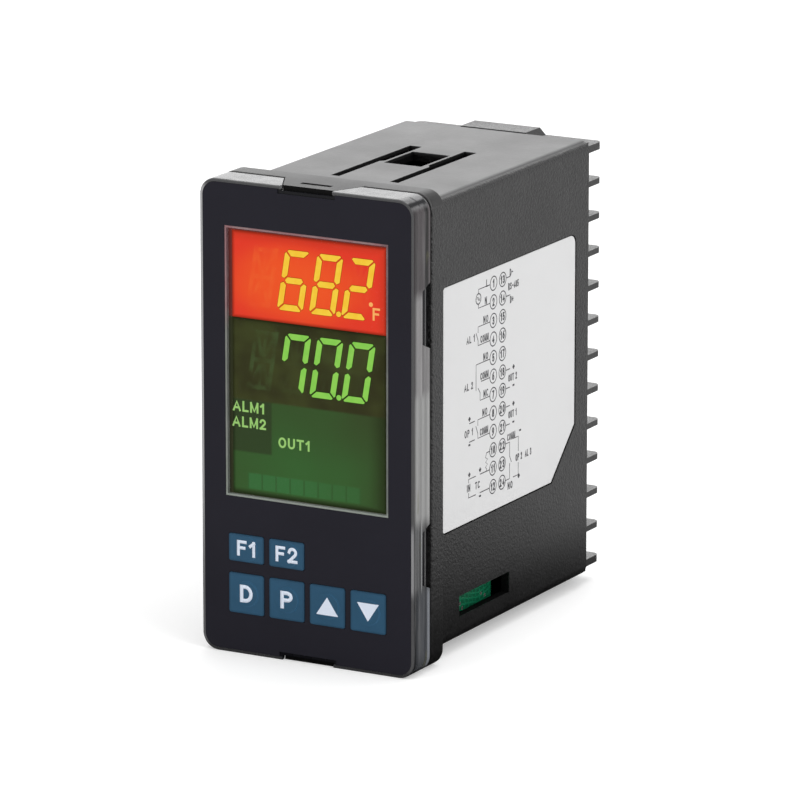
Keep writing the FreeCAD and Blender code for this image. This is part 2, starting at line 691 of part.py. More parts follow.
def build_display_stack():
    lcd_x = (window_left + d.lcd_gap, window_right - d.lcd_gap)
    lcd_z = (window_low + d.lcd_gap, window_high - d.lcd_gap)
    lcd_back = field_back + d.lcd_thick
    node(block("lcd_glass", lcd_x, (field_back, lcd_back), lcd_z), "lcd_panel")
    lit_x = (window_left + d.lit_left_margin, window_right - d.lit_right_margin)
    lit_low, lit_high = window_low + d.lit_low_margin, window_high - d.lit_top_margin
    field_y = (field_front, field_back)
    node(block("red_film", lit_x, field_y, (field_divide, lit_high)), "upper_field")
    node(block("green_film", lit_x, field_y, (lit_low, field_divide)), "lower_field")

    # light guide with four feet that stand on the display board
    inset = d.guide_inset
    guide_x = (lcd_x[0] + inset, lcd_x[1] - inset)
    guide_z = (lcd_z[0] + inset, lcd_z[1] - inset)
    guide_back = lcd_back + d.guide_plate
    solids = [block("guide_plate_body", guide_x, (lcd_back, guide_back), guide_z)]
    for x in (guide_x[0] + d.guide_foot, guide_x[1] - d.guide_foot):
        for z in (guide_z[0] + d.guide_foot, guide_z[1] - d.guide_foot):
            solids.append(rod("guide_foot_peg", "Y", (x, guide_back, z), d.guide_foot,
                              board_front - guide_back))
    node(fuse("guide_moulding", solids), "backlight_guide")

    # row of light-emitting diodes on the board behind each half of the guide
    leds = []
    for column in (-1.5, -0.5, 0.5, 1.5):
        for level in (-0.5, 0.5):
            x = (window_left + window_right) / 2 + d.digit_spacing * column
            z = (window_low + window_high) / 2 + (window_high - window_low) / 2 * level
            leds.append(block("led", (x - d.led_long / 2, x + d.led_long / 2),
                              (board_front - d.led_tall, board_front),
                              (z - d.led_wide / 2, z + d.led_wide / 2)))
    node(group("led_row", leds), "backlight_leds")


# seven segments of a numeral: a top, b c right, d bottom, e f left, g middle
NUMERALS = {
    "0": "abcdef", "2": "abdeg", "6": "acdefg", "7": "abcf", "8": "abcdefg",
}


def numeral_outlines(character, centre_x, centre_z):
    """Outlines of the lit segments of one leaning numeral."""
    half_width, half_height = d.digit_width / 2, d.digit_height / 2
    stroke, gap, cut_back = d.stroke, d.stroke_gap, d.stroke_cut

    def leaning(points):
        return polygon([(centre_x + x + d.digit_lean * z, centre_z + z) for x, z in points])

    def flat_bar(up):
        outer, inner = half_width - gap * 2, half_width - gap * 2 - stroke
        flat, tip = outer - cut_back, outer - cut_back / 2
        z_outer, z_inner = half_height * up, (half_height - stroke) * up
        z_tip = (half_height - cut_back / 2) * up
        return leaning([
            (ZERO - flat, z_outer), (flat, z_outer), (tip, z_tip), (inner, z_inner),
            (ZERO - inner, z_inner), (ZERO - tip, z_tip),
        ])

    def side_bar(side, up):
        x_outer, x_middle, x_inner = half_width, half_width - stroke / 2, half_width - stroke
        x_tip, z_end, joint = half_width - cut_back / 2, half_height - gap * 2, d.stroke_joint
        return leaning([
            (x_tip * side, (z_end - cut_back / 2) * up), (x_outer * side, (z_end - cut_back) * up),
            (x_outer * side, (joint + stroke / 4) * up), (x_middle * side, joint * up),
            (x_inner * side, (joint + stroke / 2) * up), (x_inner * side, (z_end - stroke) * up),
        ])

    def middle_bar():
        tip, shoulder = half_width - stroke / 2 - gap * 2, half_width - stroke - gap
        return leaning([
            (ZERO - tip, ZERO), (ZERO - shoulder, stroke / 2), (shoulder, stroke / 2),
            (tip, ZERO), (shoulder, ZERO - stroke / 2), (ZERO - shoulder, ZERO - stroke / 2),
        ])

    bars = {
        "a": flat_bar(1), "b": side_bar(1, 1), "c": side_bar(1, -1), "d": flat_bar(-1),
        "e": side_bar(-1, -1), "f": side_bar(-1, 1), "g": middle_bar(),
    }
    return [bars[name] for name in NUMERALS[character]]


def build_numerals(label, characters, centre_z):
    """Lit segments of three numerals and the point before the last one."""
    numerals = []
    for index, character in enumerate(characters):
        outlines = numeral_outlines(character, d.digit_x + d.digit_spacing * (index - 1), centre_z)
        numerals.append(slab(f"{label}_{index}", segment_front, d.segment_thick, outlines))
    point_z = centre_z - d.digit_height / 2 + d.point_lift
    point = rod(label + "_point", "Y", (d.digit_x + d.point_shift, segment_front, point_z),
                d.point_radius, d.segment_thick)
    node(group(label, numerals + [point]), label)


# ---------------------------------------------------------------------------------------
# Inside the front: carrier, display board and switches
# ---------------------------------------------------------------------------------------

def build_carrier():
    carrier = Moulding("display_carrier")
    ring_width = d.front_width - (d.rim_wall + d.carrier_gap) * 2
    ring_height = d.front_height - (d.rim_wall + d.carrier_gap) * 2
    sleeve_start = rim_back - d.carrier_gap
    ring_radius = d.corner_radius - d.rim_wall - d.carrier_gap
    carrier.pad("front_ring", "Y", plate_back, sleeve_start,
                rounded(ZERO, ZERO, ring_width, ring_height, ring_radius))
    carrier.pad("sleeve", "Y", sleeve_start, d.sleeve_reach,
                rounded(ZERO, ZERO, sleeve_width, sleeve_height, d.cavity_radius))
    room_width, room_height = sleeve_width - d.carrier_wall * 2, sleeve_height - d.carrier_wall * 2
    carrier.pocket("board_room", "Y", board_front, d.sleeve_reach,
                   rectangle(ZERO, ZERO, room_width, room_height))
    carrier.pocket("display_room", "Y", plate_back, board_front, window_outline(d.window_gap))
    rooms = [rectangle(x, z, d.switch_room, d.switch_room) for x, z, _ in key_places]
    carrier.pocket("switch_rooms", "Y", plate_back, board_front, *rooms)


def build_display_board():
    width = sleeve_width - (d.carrier_wall + d.board_gap) * 2
    height = sleeve_height - (d.carrier_wall + d.board_gap) * 2
    board = Moulding("display_board")
    board.pad("laminate", "Y", board_front, board_back, rectangle(ZERO, ZERO, width, height))

    switches = []
    for x, z, _ in key_places:
        half = d.switch_side / 2
        body_front = board_front - d.switch_body
        nose_front = front_y + d.stem_reach + d.key_travel + d.switch_gap
        case_box = block("switch_case", (x - half, x + half), (body_front, board_front),
                         (z - half, z + half))
        nose = rod("switch_nose_pin", "Y", (x, nose_front, z), d.switch_nose_radius,
                   body_front - nose_front)
        switches.append(fuse("switch_unit", [case_box, nose]))
    node(group("switch_set", switches), "tact_switches")


# ---------------------------------------------------------------------------------------
# Inside the case: two upright boards and the parts they carry
# ---------------------------------------------------------------------------------------

def upright_outline():
    """Board seen from the side: narrow where it enters the sleeve, notched low at the back."""
    front = board_back + d.upright_clear
    rear = block_front - d.upright_clear
    half = upright_height / 2
    front_half = sleeve_height / 2 - d.carrier_wall - d.upright_front_gap
    notch = body_floor + d.upright_notch_floor
    return polygon([
        (front, ZERO - front_half), (d.upright_shoulder, ZERO - front_half),
        (d.upright_shoulder, ZERO - half), (d.upright_notch_start, ZERO - half),
        (d.upright_notch_start, notch), (d.upright_notch_end, notch),
        (d.upright_notch_end, ZERO - half), (rear, ZERO - half), (rear, half),
        (d.upright_shoulder, half), (d.upright_shoulder, front_half), (front, front_half),
    ])


def build_upright_boards():
    main = Moulding("main_board")
    main.pad("laminate", "X", upright_inner, upright_outer, upright_outline())
    power = Moulding("power_board")
    power.pad("laminate", "X", ZERO - upright_outer, ZERO - upright_inner, upright_outline())

    # one header beside each board joins it to the display board
    header_y = (board_back, board_back + d.header_side)
    header_z = (ZERO - d.header_length / 2, d.header_length / 2)
    headers = [
        block("right_header", (upright_inner - d.header_side, upright_inner), header_y, header_z),
        block("left_header", (ZERO - upright_inner, d.header_side - upright_inner), header_y, header_z),
    ]
    node(group("header_pair", headers), "board_headers")


def build_main_board_parts():
    relays = []
    for level in (-1, 0, 1):
        z = d.relay_spacing * level
        relays.append(block("relay", (d.relay_gap, upright_inner),
                            (relay_y - d.relay_deep / 2, relay_y + d.relay_deep / 2),
                            (z - d.relay_long / 2, z + d.relay_long / 2)))
    node(group("relay_set", relays), "output_relays")

    half = d.chip_side / 2
    node(block("processor", (upright_inner - d.chip_tall, upright_inner),
               (d.chip_y - half, d.chip_y + half), (d.chip_z - half, d.chip_z + half)), "microcontroller")

    optos = []
    for level in range(3):
        z = d.opto_z - d.opto_spacing * level
        optos.append(block("opto", (upright_inner - d.opto_tall, upright_inner),
                           (d.opto_y - d.opto_deep / 2, d.opto_y + d.opto_deep / 2),
                           (z - d.opto_long / 2, z + d.opto_long / 2)))
    node(group("opto_set", optos), "optocouplers")


def build_power_board_parts():
    base = ZERO - upright_inner
    core_z = (d.core_z - d.core_long / 2, d.core_z + d.core_long / 2)
    core_x = (base, ZERO - d.core_gap)
    bobbin_y = (core_y - d.bobbin_deep / 2, core_y + d.bobbin_deep / 2)
    bobbin_z = (d.core_z - d.bobbin_long / 2, d.core_z + d.bobbin_long / 2)
    bobbin_x = (base + d.bobbin_lift, ZERO - d.core_gap - d.bobbin_gap)
    ferrite = block("ferrite", core_x, (core_y - d.core_deep / 2, core_y + d.core_deep / 2), core_z)
    core_window = block("ferrite_window", bobbin_x, bobbin_y, bobbin_z)
    node(cut("ferrite_core", ferrite, core_window), "transformer_core")
    node(block("winding", bobbin_x, bobbin_y, bobbin_z), "transformer_winding")

    node(rod("bulk_can", "X", (base, d.bulk_y, d.bulk_z), d.bulk_radius, d.bulk_tall), "bulk_capacitor")
    cans = []
    for level in range(3):
        can_base = (base, d.can_y, d.can_z + d.can_spacing * level)
        cans.append(rod("small_can", "X", can_base, d.can_radius, d.can_tall))
    node(group("can_set", cans), "filter_capacitors")
    node(rod("disc", "X", (base, disc_y, d.disc_z), d.disc_radius, d.disc_thick), "varistor")
    fuse_base = (base + d.fuse_radius, fuse_y, d.fuse_z)
    node(rod("fuse_tube", "Z", fuse_base, d.fuse_radius, d.fuse_long), "fuse")


# ---------------------------------------------------------------------------------------
# Rear: terminal block with its barriers, clamp plates and screws
# ---------------------------------------------------------------------------------------

block_width = body_width - d.block_side_gap * 2
block_height = body_height - d.block_end_gap * 2
row_spacing = (block_height - d.end_fin_margin * 2) / TERMINAL_ROWS
screw_x = block_width / 2 - d.screw_margin
tab_height = row_spacing - d.fin_thick - d.tab_side_gap * 2
tail_outer = upright_outer + d.tail_thick


def terminal_levels():
    """Heights of the terminal rows, from the top down."""
    return [row_spacing * ((TERMINAL_ROWS - 1) / 2 - row) for row in range(TERMINAL_ROWS)]


def build_terminal_block():
    terminal = Moulding("terminal_block")
    tail_centre = upright_outer + d.tail_thick / 2
    fin_end = block_face + d.fin_reach
    plug_width, plug_height = cavity_width - d.plug_gap * 2, cavity_height - d.plug_gap * 2
    terminal.pad("plug", "Y", block_front, d.body_depth,
                 rounded(ZERO, ZERO, plug_width, plug_height, d.cavity_radius))
    terminal.pad("back_plate", "Y", d.body_depth, block_face,
                 rectangle(ZERO, ZERO, block_width, block_height))
    # the rib is flush with the case, and bevelled at the ends of its right side
    half_rib, rib_top, corner = d.rib_width / 2, body_height / 2, d.rib_corner
    terminal.pad("centre_rib", "Y", block_face, fin_end, polygon([
        (ZERO - half_rib, ZERO - rib_top), (half_rib - corner, ZERO - rib_top),
        (half_rib, corner - rib_top), (half_rib, rib_top - corner), (half_rib - corner, rib_top),
        (ZERO - half_rib, rib_top),
    ]))
    end_levels = [row_spacing * (TERMINAL_ROWS / 2 * side) for side in (-1, 1)]
    terminal.pad("end_barriers", "Y", block_face, fin_end,
                 *[rectangle(ZERO, level, block_width, d.end_fin_thick) for level in end_levels])
    lowest_fin = rectangle(ZERO, end_levels[0] + row_spacing, block_width, d.fin_thick)
    fin = terminal.pad("barrier", "Y", block_face, fin_end, lowest_fin)
    terminal.repeat_up("barriers", row_spacing, TERMINAL_ROWS - 1, [fin])
    tip_y, tip_x = fin_end.number, block_width.number / 2

    def at_fin_tip(edge):
        box = edge.BoundBox
        outermost = abs(box.XMin) > tip_x - 1e-6 and box.XMax - box.XMin < 1e-6
        return outermost and abs(box.YMin - tip_y) < 1e-6

    terminal.fillet("barrier_tips", d.fin_tip_radius, at_fin_tip)
    lowest = terminal_levels()[-1]
    slot_thick, slot_height = d.tail_thick + d.tail_gap * 2, d.tail_height + d.tail_gap * 2
    holes = terminal.pocket("screw_hole", "Y", block_face - d.screw_hole_depth, block_face,
                            *[circle(screw_x * side, lowest, d.screw_hole_radius) for side in (-1, 1)])
    slot_outlines = [rectangle(tail_centre * side, lowest, slot_thick, slot_height) for side in (-1, 1)]
    slots = terminal.pocket("tail_slot", "Y", block_front, block_face, *slot_outlines)
    terminal.repeat_up("terminal_holes", row_spacing, TERMINAL_ROWS, [holes, slots])


def terminal_places():
    """Side and height of each of the terminals."""
    return [(side, level) for side in (-1, 1) for level in terminal_levels()]


def across(side, near, far):
    """Pair of stations along X on one side of the centre, lower one first."""
    return (near, far) if side > 0 else (ZERO - far, ZERO - near)


def build_clamp_plates():
    """Bent plates: a tab on the bay's floor with a screw hole, and a tail to the board."""
    tab_back = block_face + d.tab_thick
    bent, holes = [], []
    for side, level in terminal_places():
        tab_x = across(side, d.rib_width / 2 + d.tab_gap, tail_outer)
        tail_x = across(side, upright_outer, tail_outer)
        half_tab, half_tail = tab_height / 2, d.tail_height / 2
        tail_y = (block_front - d.tail_lap, block_face)
        bent.append(block("tab", tab_x, (block_face, tab_back), (level - half_tab, level + half_tab)))
        bent.append(block("tail", tail_x, tail_y, (level - half_tail, level + half_tail)))
        hole_base = (screw_x * side, block_face, level)
        holes.append(rod("tab_hole", "Y", hole_base, d.tab_hole_radius, d.tab_thick))
    node(cut("clamp_plates", fuse("bent_strips", bent), group("tab_holes", holes)), "terminal_plates")


def build_terminal_screws():
    """Pan-head screws with a cross recess, one through each clamp plate."""
    seat = block_face + d.tab_thick
    crown = seat + d.screw_head_height
    top = crown + d.screw_crown_height
    turned, recesses = [], []
    for side, level in terminal_places():
        x = screw_x * side
        turned.append(rod("screw_shank", "Y", (x, seat - d.screw_length, level),
                          d.screw_shank_radius, d.screw_length))
        turned.append(rod("screw_head", "Y", (x, seat, level), d.screw_head_radius, d.screw_head_height))
        turned.append(cone("screw_crown", (x, crown, level), d.screw_head_radius, d.screw_crown_radius,
                           d.screw_crown_height))
        half_long, half_wide = d.screw_slot_length / 2, d.screw_slot_width / 2
        depth = (top - d.screw_slot_depth, top)
        recesses.append(block("recess_bar", (x - half_long, x + half_long), depth,
                              (level - half_wide, level + half_wide)))
        recesses.append(block("recess_post", (x - half_wide, x + half_wide), depth,
                              (level - half_long, level + half_long)))
    blanks, crosses = fuse("screw_blanks", turned), fuse("cross_recesses", recesses)
    node(cut("cross_screws", blanks, crosses), "terminal_screws")


def check_and_write():
    """Stops on any failed object, then writes one STEP file a node."""
    doc.recompute()
    for item in doc.Objects:
        if "Invalid" in item.State or "Error" in item.State:
            sys.exit(f"{item.Label} failed: {item.State}")
    os.makedirs("parts", exist_ok=True)
    for piece in pieces:
        shape = piece.Shape
        if shape.isNull() or not shape.isValid() or not shape.Solids:
            sys.exit(f"{piece.Label} has no valid solid")
        shape.exportStep(f"parts/{piece.Label}.step")
        box = shape.BoundBox
        spans = ((box.XMin, box.XMax), (box.YMin, box.YMax), (box.ZMin, box.ZMax))
        extent = "  ".join(f"{low:.2f} {high:.2f}" for low, high in spans)
        print(f"{piece.Label:22s} solids {len(shape.Solids):3d}  volume {shape.Volume:10.2f}  {extent}")


build_case()
build_side_label()
build_bezel()
build_face_overlay()
build_display_window()
build_keys()
build_seal()
build_display_stack()
build_numerals("upper_digits", "682", window_high - d.upper_digit_drop)
build_numerals("lower_digits", "700", field_divide - d.lower_digit_drop)
build_carrier()
build_display_board()
build_upright_boards()
build_main_board_parts()
build_power_board_parts()
build_terminal_block()
build_clamp_plates()
build_terminal_screws()
check_and_write()
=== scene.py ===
"""Looks of an upright, panel-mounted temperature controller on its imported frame."""

import json
import logging
import math
from dataclasses import dataclass
from enum import Enum
from typing import Callable, Iterable, Sequence, Union

import bpy
from mathutils import Euler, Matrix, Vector


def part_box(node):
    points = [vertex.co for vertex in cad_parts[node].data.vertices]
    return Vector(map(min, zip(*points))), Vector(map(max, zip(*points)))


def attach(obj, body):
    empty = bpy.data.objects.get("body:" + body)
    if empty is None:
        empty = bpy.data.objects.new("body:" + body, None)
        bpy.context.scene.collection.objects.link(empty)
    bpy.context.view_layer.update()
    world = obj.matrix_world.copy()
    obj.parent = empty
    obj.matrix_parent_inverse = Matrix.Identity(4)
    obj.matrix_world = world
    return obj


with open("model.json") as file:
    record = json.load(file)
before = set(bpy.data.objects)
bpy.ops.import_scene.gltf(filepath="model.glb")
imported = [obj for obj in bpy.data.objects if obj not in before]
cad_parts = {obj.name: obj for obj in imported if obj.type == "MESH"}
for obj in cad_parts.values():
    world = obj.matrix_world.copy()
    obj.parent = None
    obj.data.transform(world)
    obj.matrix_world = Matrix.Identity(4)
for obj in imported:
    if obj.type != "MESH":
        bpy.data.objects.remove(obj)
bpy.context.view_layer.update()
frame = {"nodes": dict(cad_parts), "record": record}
LOG = logging.getLogger("controller")
MM = 0.001
#: How far one stroke lies behind the next, in millimetres.
STAGGER = 0.004

Colour = tuple[float, float, float]
Place = tuple[float, float, float]


# ----------------------------------------------------------------------------------------
# Shader maths
# ----------------------------------------------------------------------------------------

def math_method(operation: str, swapped: bool = False) -> Callable[..., "Term"]:
    """Makes a method that adds one Math node.

    Args:
        operation: The node's operation.
        swapped: Whether the other value comes first, as in 1 - mask.

    Returns:
        The method.
    """
    def apply(term: "Term", other: "Value" = 0.0) -> "Term":
        """Works on the term and the other value."""
        first, second = (other, term) if swapped else (term, other)
        return term.graph.node("ShaderNodeMath", {"operation": operation}, {0: first, 1: second})
    return apply


class Term:
    """An output socket that takes part in arithmetic by adding Math nodes."""

    __add__, __radd__ = math_method("ADD"), math_method("ADD", swapped=True)
    __sub__, __rsub__ = math_method("SUBTRACT"), math_method("SUBTRACT", swapped=True)
    __mul__, __rmul__ = math_method("MULTIPLY"), math_method("MULTIPLY", swapped=True)
    __truediv__, __rtruediv__ = math_method("DIVIDE"), math_method("DIVIDE", swapped=True)
    __abs__ = math_method("ABSOLUTE")
    #: Part after the decimal point, and the larger of two values.
    part, most = math_method("FRACT"), math_method("MAXIMUM")

    def __init__(self, graph: "Graph", socket: bpy.types.NodeSocket) -> None:
        """Wraps a socket.

        Args:
            graph: The node graph that the socket belongs to.
            socket: The output socket.
        """
        self.graph = graph
        self.socket = socket

    def ramp(self, start: float, end: float) -> "Term":
        """Smooth rise from 0 at start to 1 at end; start may be the larger.

        Args:
            start: Value at which the result is 0.
            end: Value at which the result is 1.

        Returns:
            The result, between 0 and 1.
        """
        settings = {"interpolation_type": "SMOOTHSTEP", "clamp": True}
        low, high, first, last = (start, end, 0.0, 1.0) if start < end else (end, start, 1.0, 0.0)
        inputs = {0: self, 1: low, 2: high, 3: first, 4: last}
        return self.graph.node("ShaderNodeMapRange", settings, inputs)

    def within(self, low: float, high: float, soft: float) -> "Term":
        """1 between two values and 0 outside them, with soft edges.

        Args:
            low: Lower edge.
            high: Upper edge.
            soft: Width of each edge.

        Returns:
            The mask.
        """
        return self.ramp(low - soft / 2, low + soft / 2) * self.ramp(high + soft / 2, high - soft / 2)


Value = Union[Term, float, int, tuple, Vector]


class Graph:
    """The nodes of a material or a world."""

    def __init__(self, owner: Union[bpy.types.Material, bpy.types.World]) -> None:
        """Turns the owner's nodes on.

        Args:
            owner: The material or world.
        """
        self.owner = owner
        owner.use_nodes = True
        self.tree = owner.node_tree
        self.shader = self.tree.nodes.get("Principled BSDF")
        self._place: dict[str, Term] = {}

    def finish(self, surface: "Term") -> None:
        """Links a shader to the output.

        Args:
            surface: The shader.
        """
        output = next(node for node in self.tree.nodes if node.type.startswith("OUTPUT"))
        self.feed(output.inputs["Surface"], surface)

    def node(self, kind: str, settings: dict, inputs: dict, output: Union[int, str] = 0) -> Term:
        """Adds any node.

        Args:
            kind: The node's type.
            settings: Its settings, set first; stops gives a colour ramp's positions and colours.
            inputs: Values or links of its sockets, by number or name.
            output: The socket that is returned.

        Returns:
            The output socket.
        """
        node = self.tree.nodes.new(kind)
        for key, setting in settings.items():
            if key == "stops":
                self._fill_ramp(node.color_ramp, setting)
            else:
                setattr(node, key, setting)
        for key, value in inputs.items():
            self.feed(node.inputs[key], value)
        return Term(self, node.outputs[output])

    @staticmethod
    def _fill_ramp(ramp: bpy.types.ColorRamp, stops: Sequence[tuple[float, Colour]]) -> None:
        """Sets a colour ramp's stops.

        Args:
            ramp: The ramp.
            stops: Positions and colours, in order.
        """
        for index, (position, colour) in enumerate(stops):
            element = ramp.elements[index] if index < 2 else ramp.elements.new(position)
            element.position = position
            element.color = (*colour, 1.0)

    def feed(self, socket: bpy.types.NodeSocket, value: Value) -> None:
        """Links or sets one input.

        Args:
            socket: The input.
            value: A term, a number or a vector.
        """
        if isinstance(value, Term):
            self.tree.links.new(value.socket, socket)
        elif isinstance(value, tuple) and socket.type == "RGBA" and len(value) == 3:
            socket.default_value = (*value, 1.0)
        else:
            socket.default_value = value

    def set(self, **inputs: Value) -> None:
        """Sets the Principled shader's sockets, named with underscores for spaces.

        Args:
            **inputs: Values or links by socket name.
        """
        for key, value in inputs.items():
            self.feed(self.shader.inputs[key.replace("_", " ")], value)

    def place(self) -> Term:
        """Position in the object's own frame, in metres."""
        if "place" not in self._place:
            self._place["place"] = self.node("ShaderNodeTexCoord", {}, {}, "Object")
        return self._place["place"]

    def axis(self, name: str) -> Term:
        """One coordinate, X, Y or Z, in millimetres."""
        if name not in self._place:
            split = self.node("ShaderNodeSeparateXYZ", {}, {0: self.place()}, name)
            self._place[name] = split * (1 / MM)
        return self._place[name]

    def noise(self, grain: float, detail: float = 3.0, stretch: Place = (1, 1, 1), seed: float = 0.0) -> Term:
        """Noise between 0 and 1.

        Args:
            grain: Size of its features, in millimetres.
            detail: Number of finer layers.
            stretch: Factor along each axis, where less than 1 draws the features out.
            seed: Offset that gives another pattern.

        Returns:
            The noise.
        """
        settings = {"vector_type": "POINT"}
        inputs = {"Vector": self.place(), "Location": (seed, seed, seed), "Scale": stretch}
        vector = self.node("ShaderNodeMapping", settings, inputs)
        inputs = {"Vector": vector, "Scale": 1 / (grain * MM), "Detail": detail, "Roughness": 0.6}
        return self.node("ShaderNodeTexNoise", {}, inputs)

    def cells(self, size: float) -> Term:
        """Distance to the nearest point of a field of random cells.

        Args:
            size: Cell size, in millimetres.

        Returns:
            The distance, in cells.
        """
        inputs = {"Vector": self.place(), "Scale": 1 / (size * MM)}
        return self.node("ShaderNodeTexVoronoi", {"feature": "F1"}, inputs)

    def mix(self, factor: Value, first: Value, second: Value) -> Term:
        """Blend of two colours.

        Args:
            factor: 0 gives the first colour and 1 the second.
            first: First colour.
            second: Second colour.

        Returns:
            The colour.
        """
        settings = {"data_type": "RGBA", "clamp_factor": True, "blend_type": "MIX"}
        return self.node("ShaderNodeMix", settings, {0: factor, 6: first, 7: second}, 2)

    def relief(self, height: Term, depth: float) -> None:
        """Bumps the surface.

        Args:
            height: Height between 0 and 1.
            depth: Height that 1 stands for, in millimetres.
        """
        inputs = {"Strength": 1.0, "Distance": depth * MM, "Height": height}
        self.set(Normal=self.node("ShaderNodeBump", {}, inputs))


# ----------------------------------------------------------------------------------------
# Finishes
# ----------------------------------------------------------------------------------------

@dataclass(frozen=True)
class Area:
    """Upright rectangle, seen from the front, in millimetres."""

    left: float
    right: float
    low: float
    high: float

    @classmethod
    def of(cls, node: str) -> "Area":
        """The rectangle that a node takes up."""
        low, high = corners(node)
        return cls(low.x, high.x, low.z, high.z)

    @property
    def centre(self) -> tuple[float, float]:
        """Its middle, across and up."""
        return (self.left + self.right) / 2, (self.low + self.high) / 2

    @property
    def size(self) -> tuple[float, float]:
        """Its width and height."""
        return self.right - self.left, self.high - self.low

    def offsets(self, graph: Graph) -> tuple[Term, Term]:
        """Distances from its middle, across and up."""
        return graph.axis("X") - self.centre[0], graph.axis("Z") - self.centre[1]

    def beyond(self, graph: Graph) -> Term:
        """How far a place lies outside it; less than 0 within it."""
        across, up = self.offsets(graph)
        return (abs(across) - self.size[0] / 2).most(abs(up) - self.size[1] / 2)


@dataclass(frozen=True)
class Grain:
    """A noise pattern: its size in millimetres, its finer layers, its seed and how much of it shows."""

    size: float
    detail: float = 3.0
    seed: float = 0.0
    amount: float = 0.0

    def draw(self, graph: Graph) -> Term:
        """The pattern, between 0 and 1."""
        return graph.noise(self.size, self.detail, seed=self.seed)


@dataclass(frozen=True)
class Finish:
    """A surface's look: a base colour, the shader's plain numbers and three faint patterns."""

    name: str
    colour: Colour
    roughness: float = 0.45
    specular: float = 0.5
    metallic: float = 0.0
    spread: tuple[float, float] = (0.88, 1.12)
    cloud: Grain = Grain(6.0)
    gloss: Grain = Grain(1.2, seed=3.0, amount=0.12)
    bump: Grain = Grain(0.5, amount=0.01)

    def material(self) -> bpy.types.Material:
        """Makes the material.

        Returns:
            The material.
        """
        graph = Graph(bpy.data.materials.new(self.name))
        graph.shader.inputs["Specular IOR Level"].default_value = self.specular
        graph.set(Metallic=self.metallic)
        self.draw(graph)
        return graph.owner

    def shade(self, amount: float) -> Colour:
        """The base colour times an amount."""
        return tuple(min(1.0, channel * amount) for channel in self.colour)

    def mottle(self, pattern: Term, low: float, high: float) -> Term:
        """The base colour, darker where a pattern is 0 and paler where it is 1."""
        return pattern.graph.mix(pattern, self.shade(low), self.shade(high))

    def draw(self, graph: Graph) -> None:
        """Faint mottle, uneven gloss and a fine relief.

        Args:
            graph: The material's nodes.
        """
        rough = self.roughness + (self.gloss.draw(graph) - 0.5) * self.gloss.amount
        graph.set(Base_Color=self.mottle(self.cloud.draw(graph), *self.spread), Roughness=rough)
        graph.relief(self.bump.draw(graph), self.bump.amount)


@dataclass(frozen=True)
class TexturedPlastic(Finish):
    """Spark-eroded plastic: a fine leathery grain, polished where hands rub it."""

    grain: float = 0.5
    depth: float = 0.05

    def draw(self, graph: Graph) -> None:
        """Grain, mottle and uneven gloss.

        Args:
            graph: The material's nodes.
        """
        grain = graph.noise(self.grain, 2.0)
        speck = graph.noise(self.grain * 1.7, 3.0, seed=8.0)
        base = self.mottle(graph.noise(9.0, 3.0, seed=2.0).ramp(0.3, 0.7), 0.8, 1.15)
        base = graph.mix(grain.ramp(0.4, 0.7), base, self.shade(1.7))
        base = graph.mix(speck.ramp(0.5, 0.36) * 0.7, base, self.shade(0.3))
        # Wear: uneven gloss, in roughness only.
        wear_and_painted_light = graph.noise(14.0, 4.0, seed=5.0)
        rough = self.roughness + (wear_and_painted_light - 0.5) * 0.16 + (grain - 0.5) * self.textured(graph) * 0.6
        graph.set(Base_Color=base, Roughness=rough)
        height = grain * 0.6 + graph.cells(self.grain * 1.6) * 0.25 + speck * 0.3
        graph.relief(height * self.textured(graph), self.depth)

    def textured(self, graph: Graph) -> Value:
        """How much of the grain a place has; all of it here."""
        return 1.0


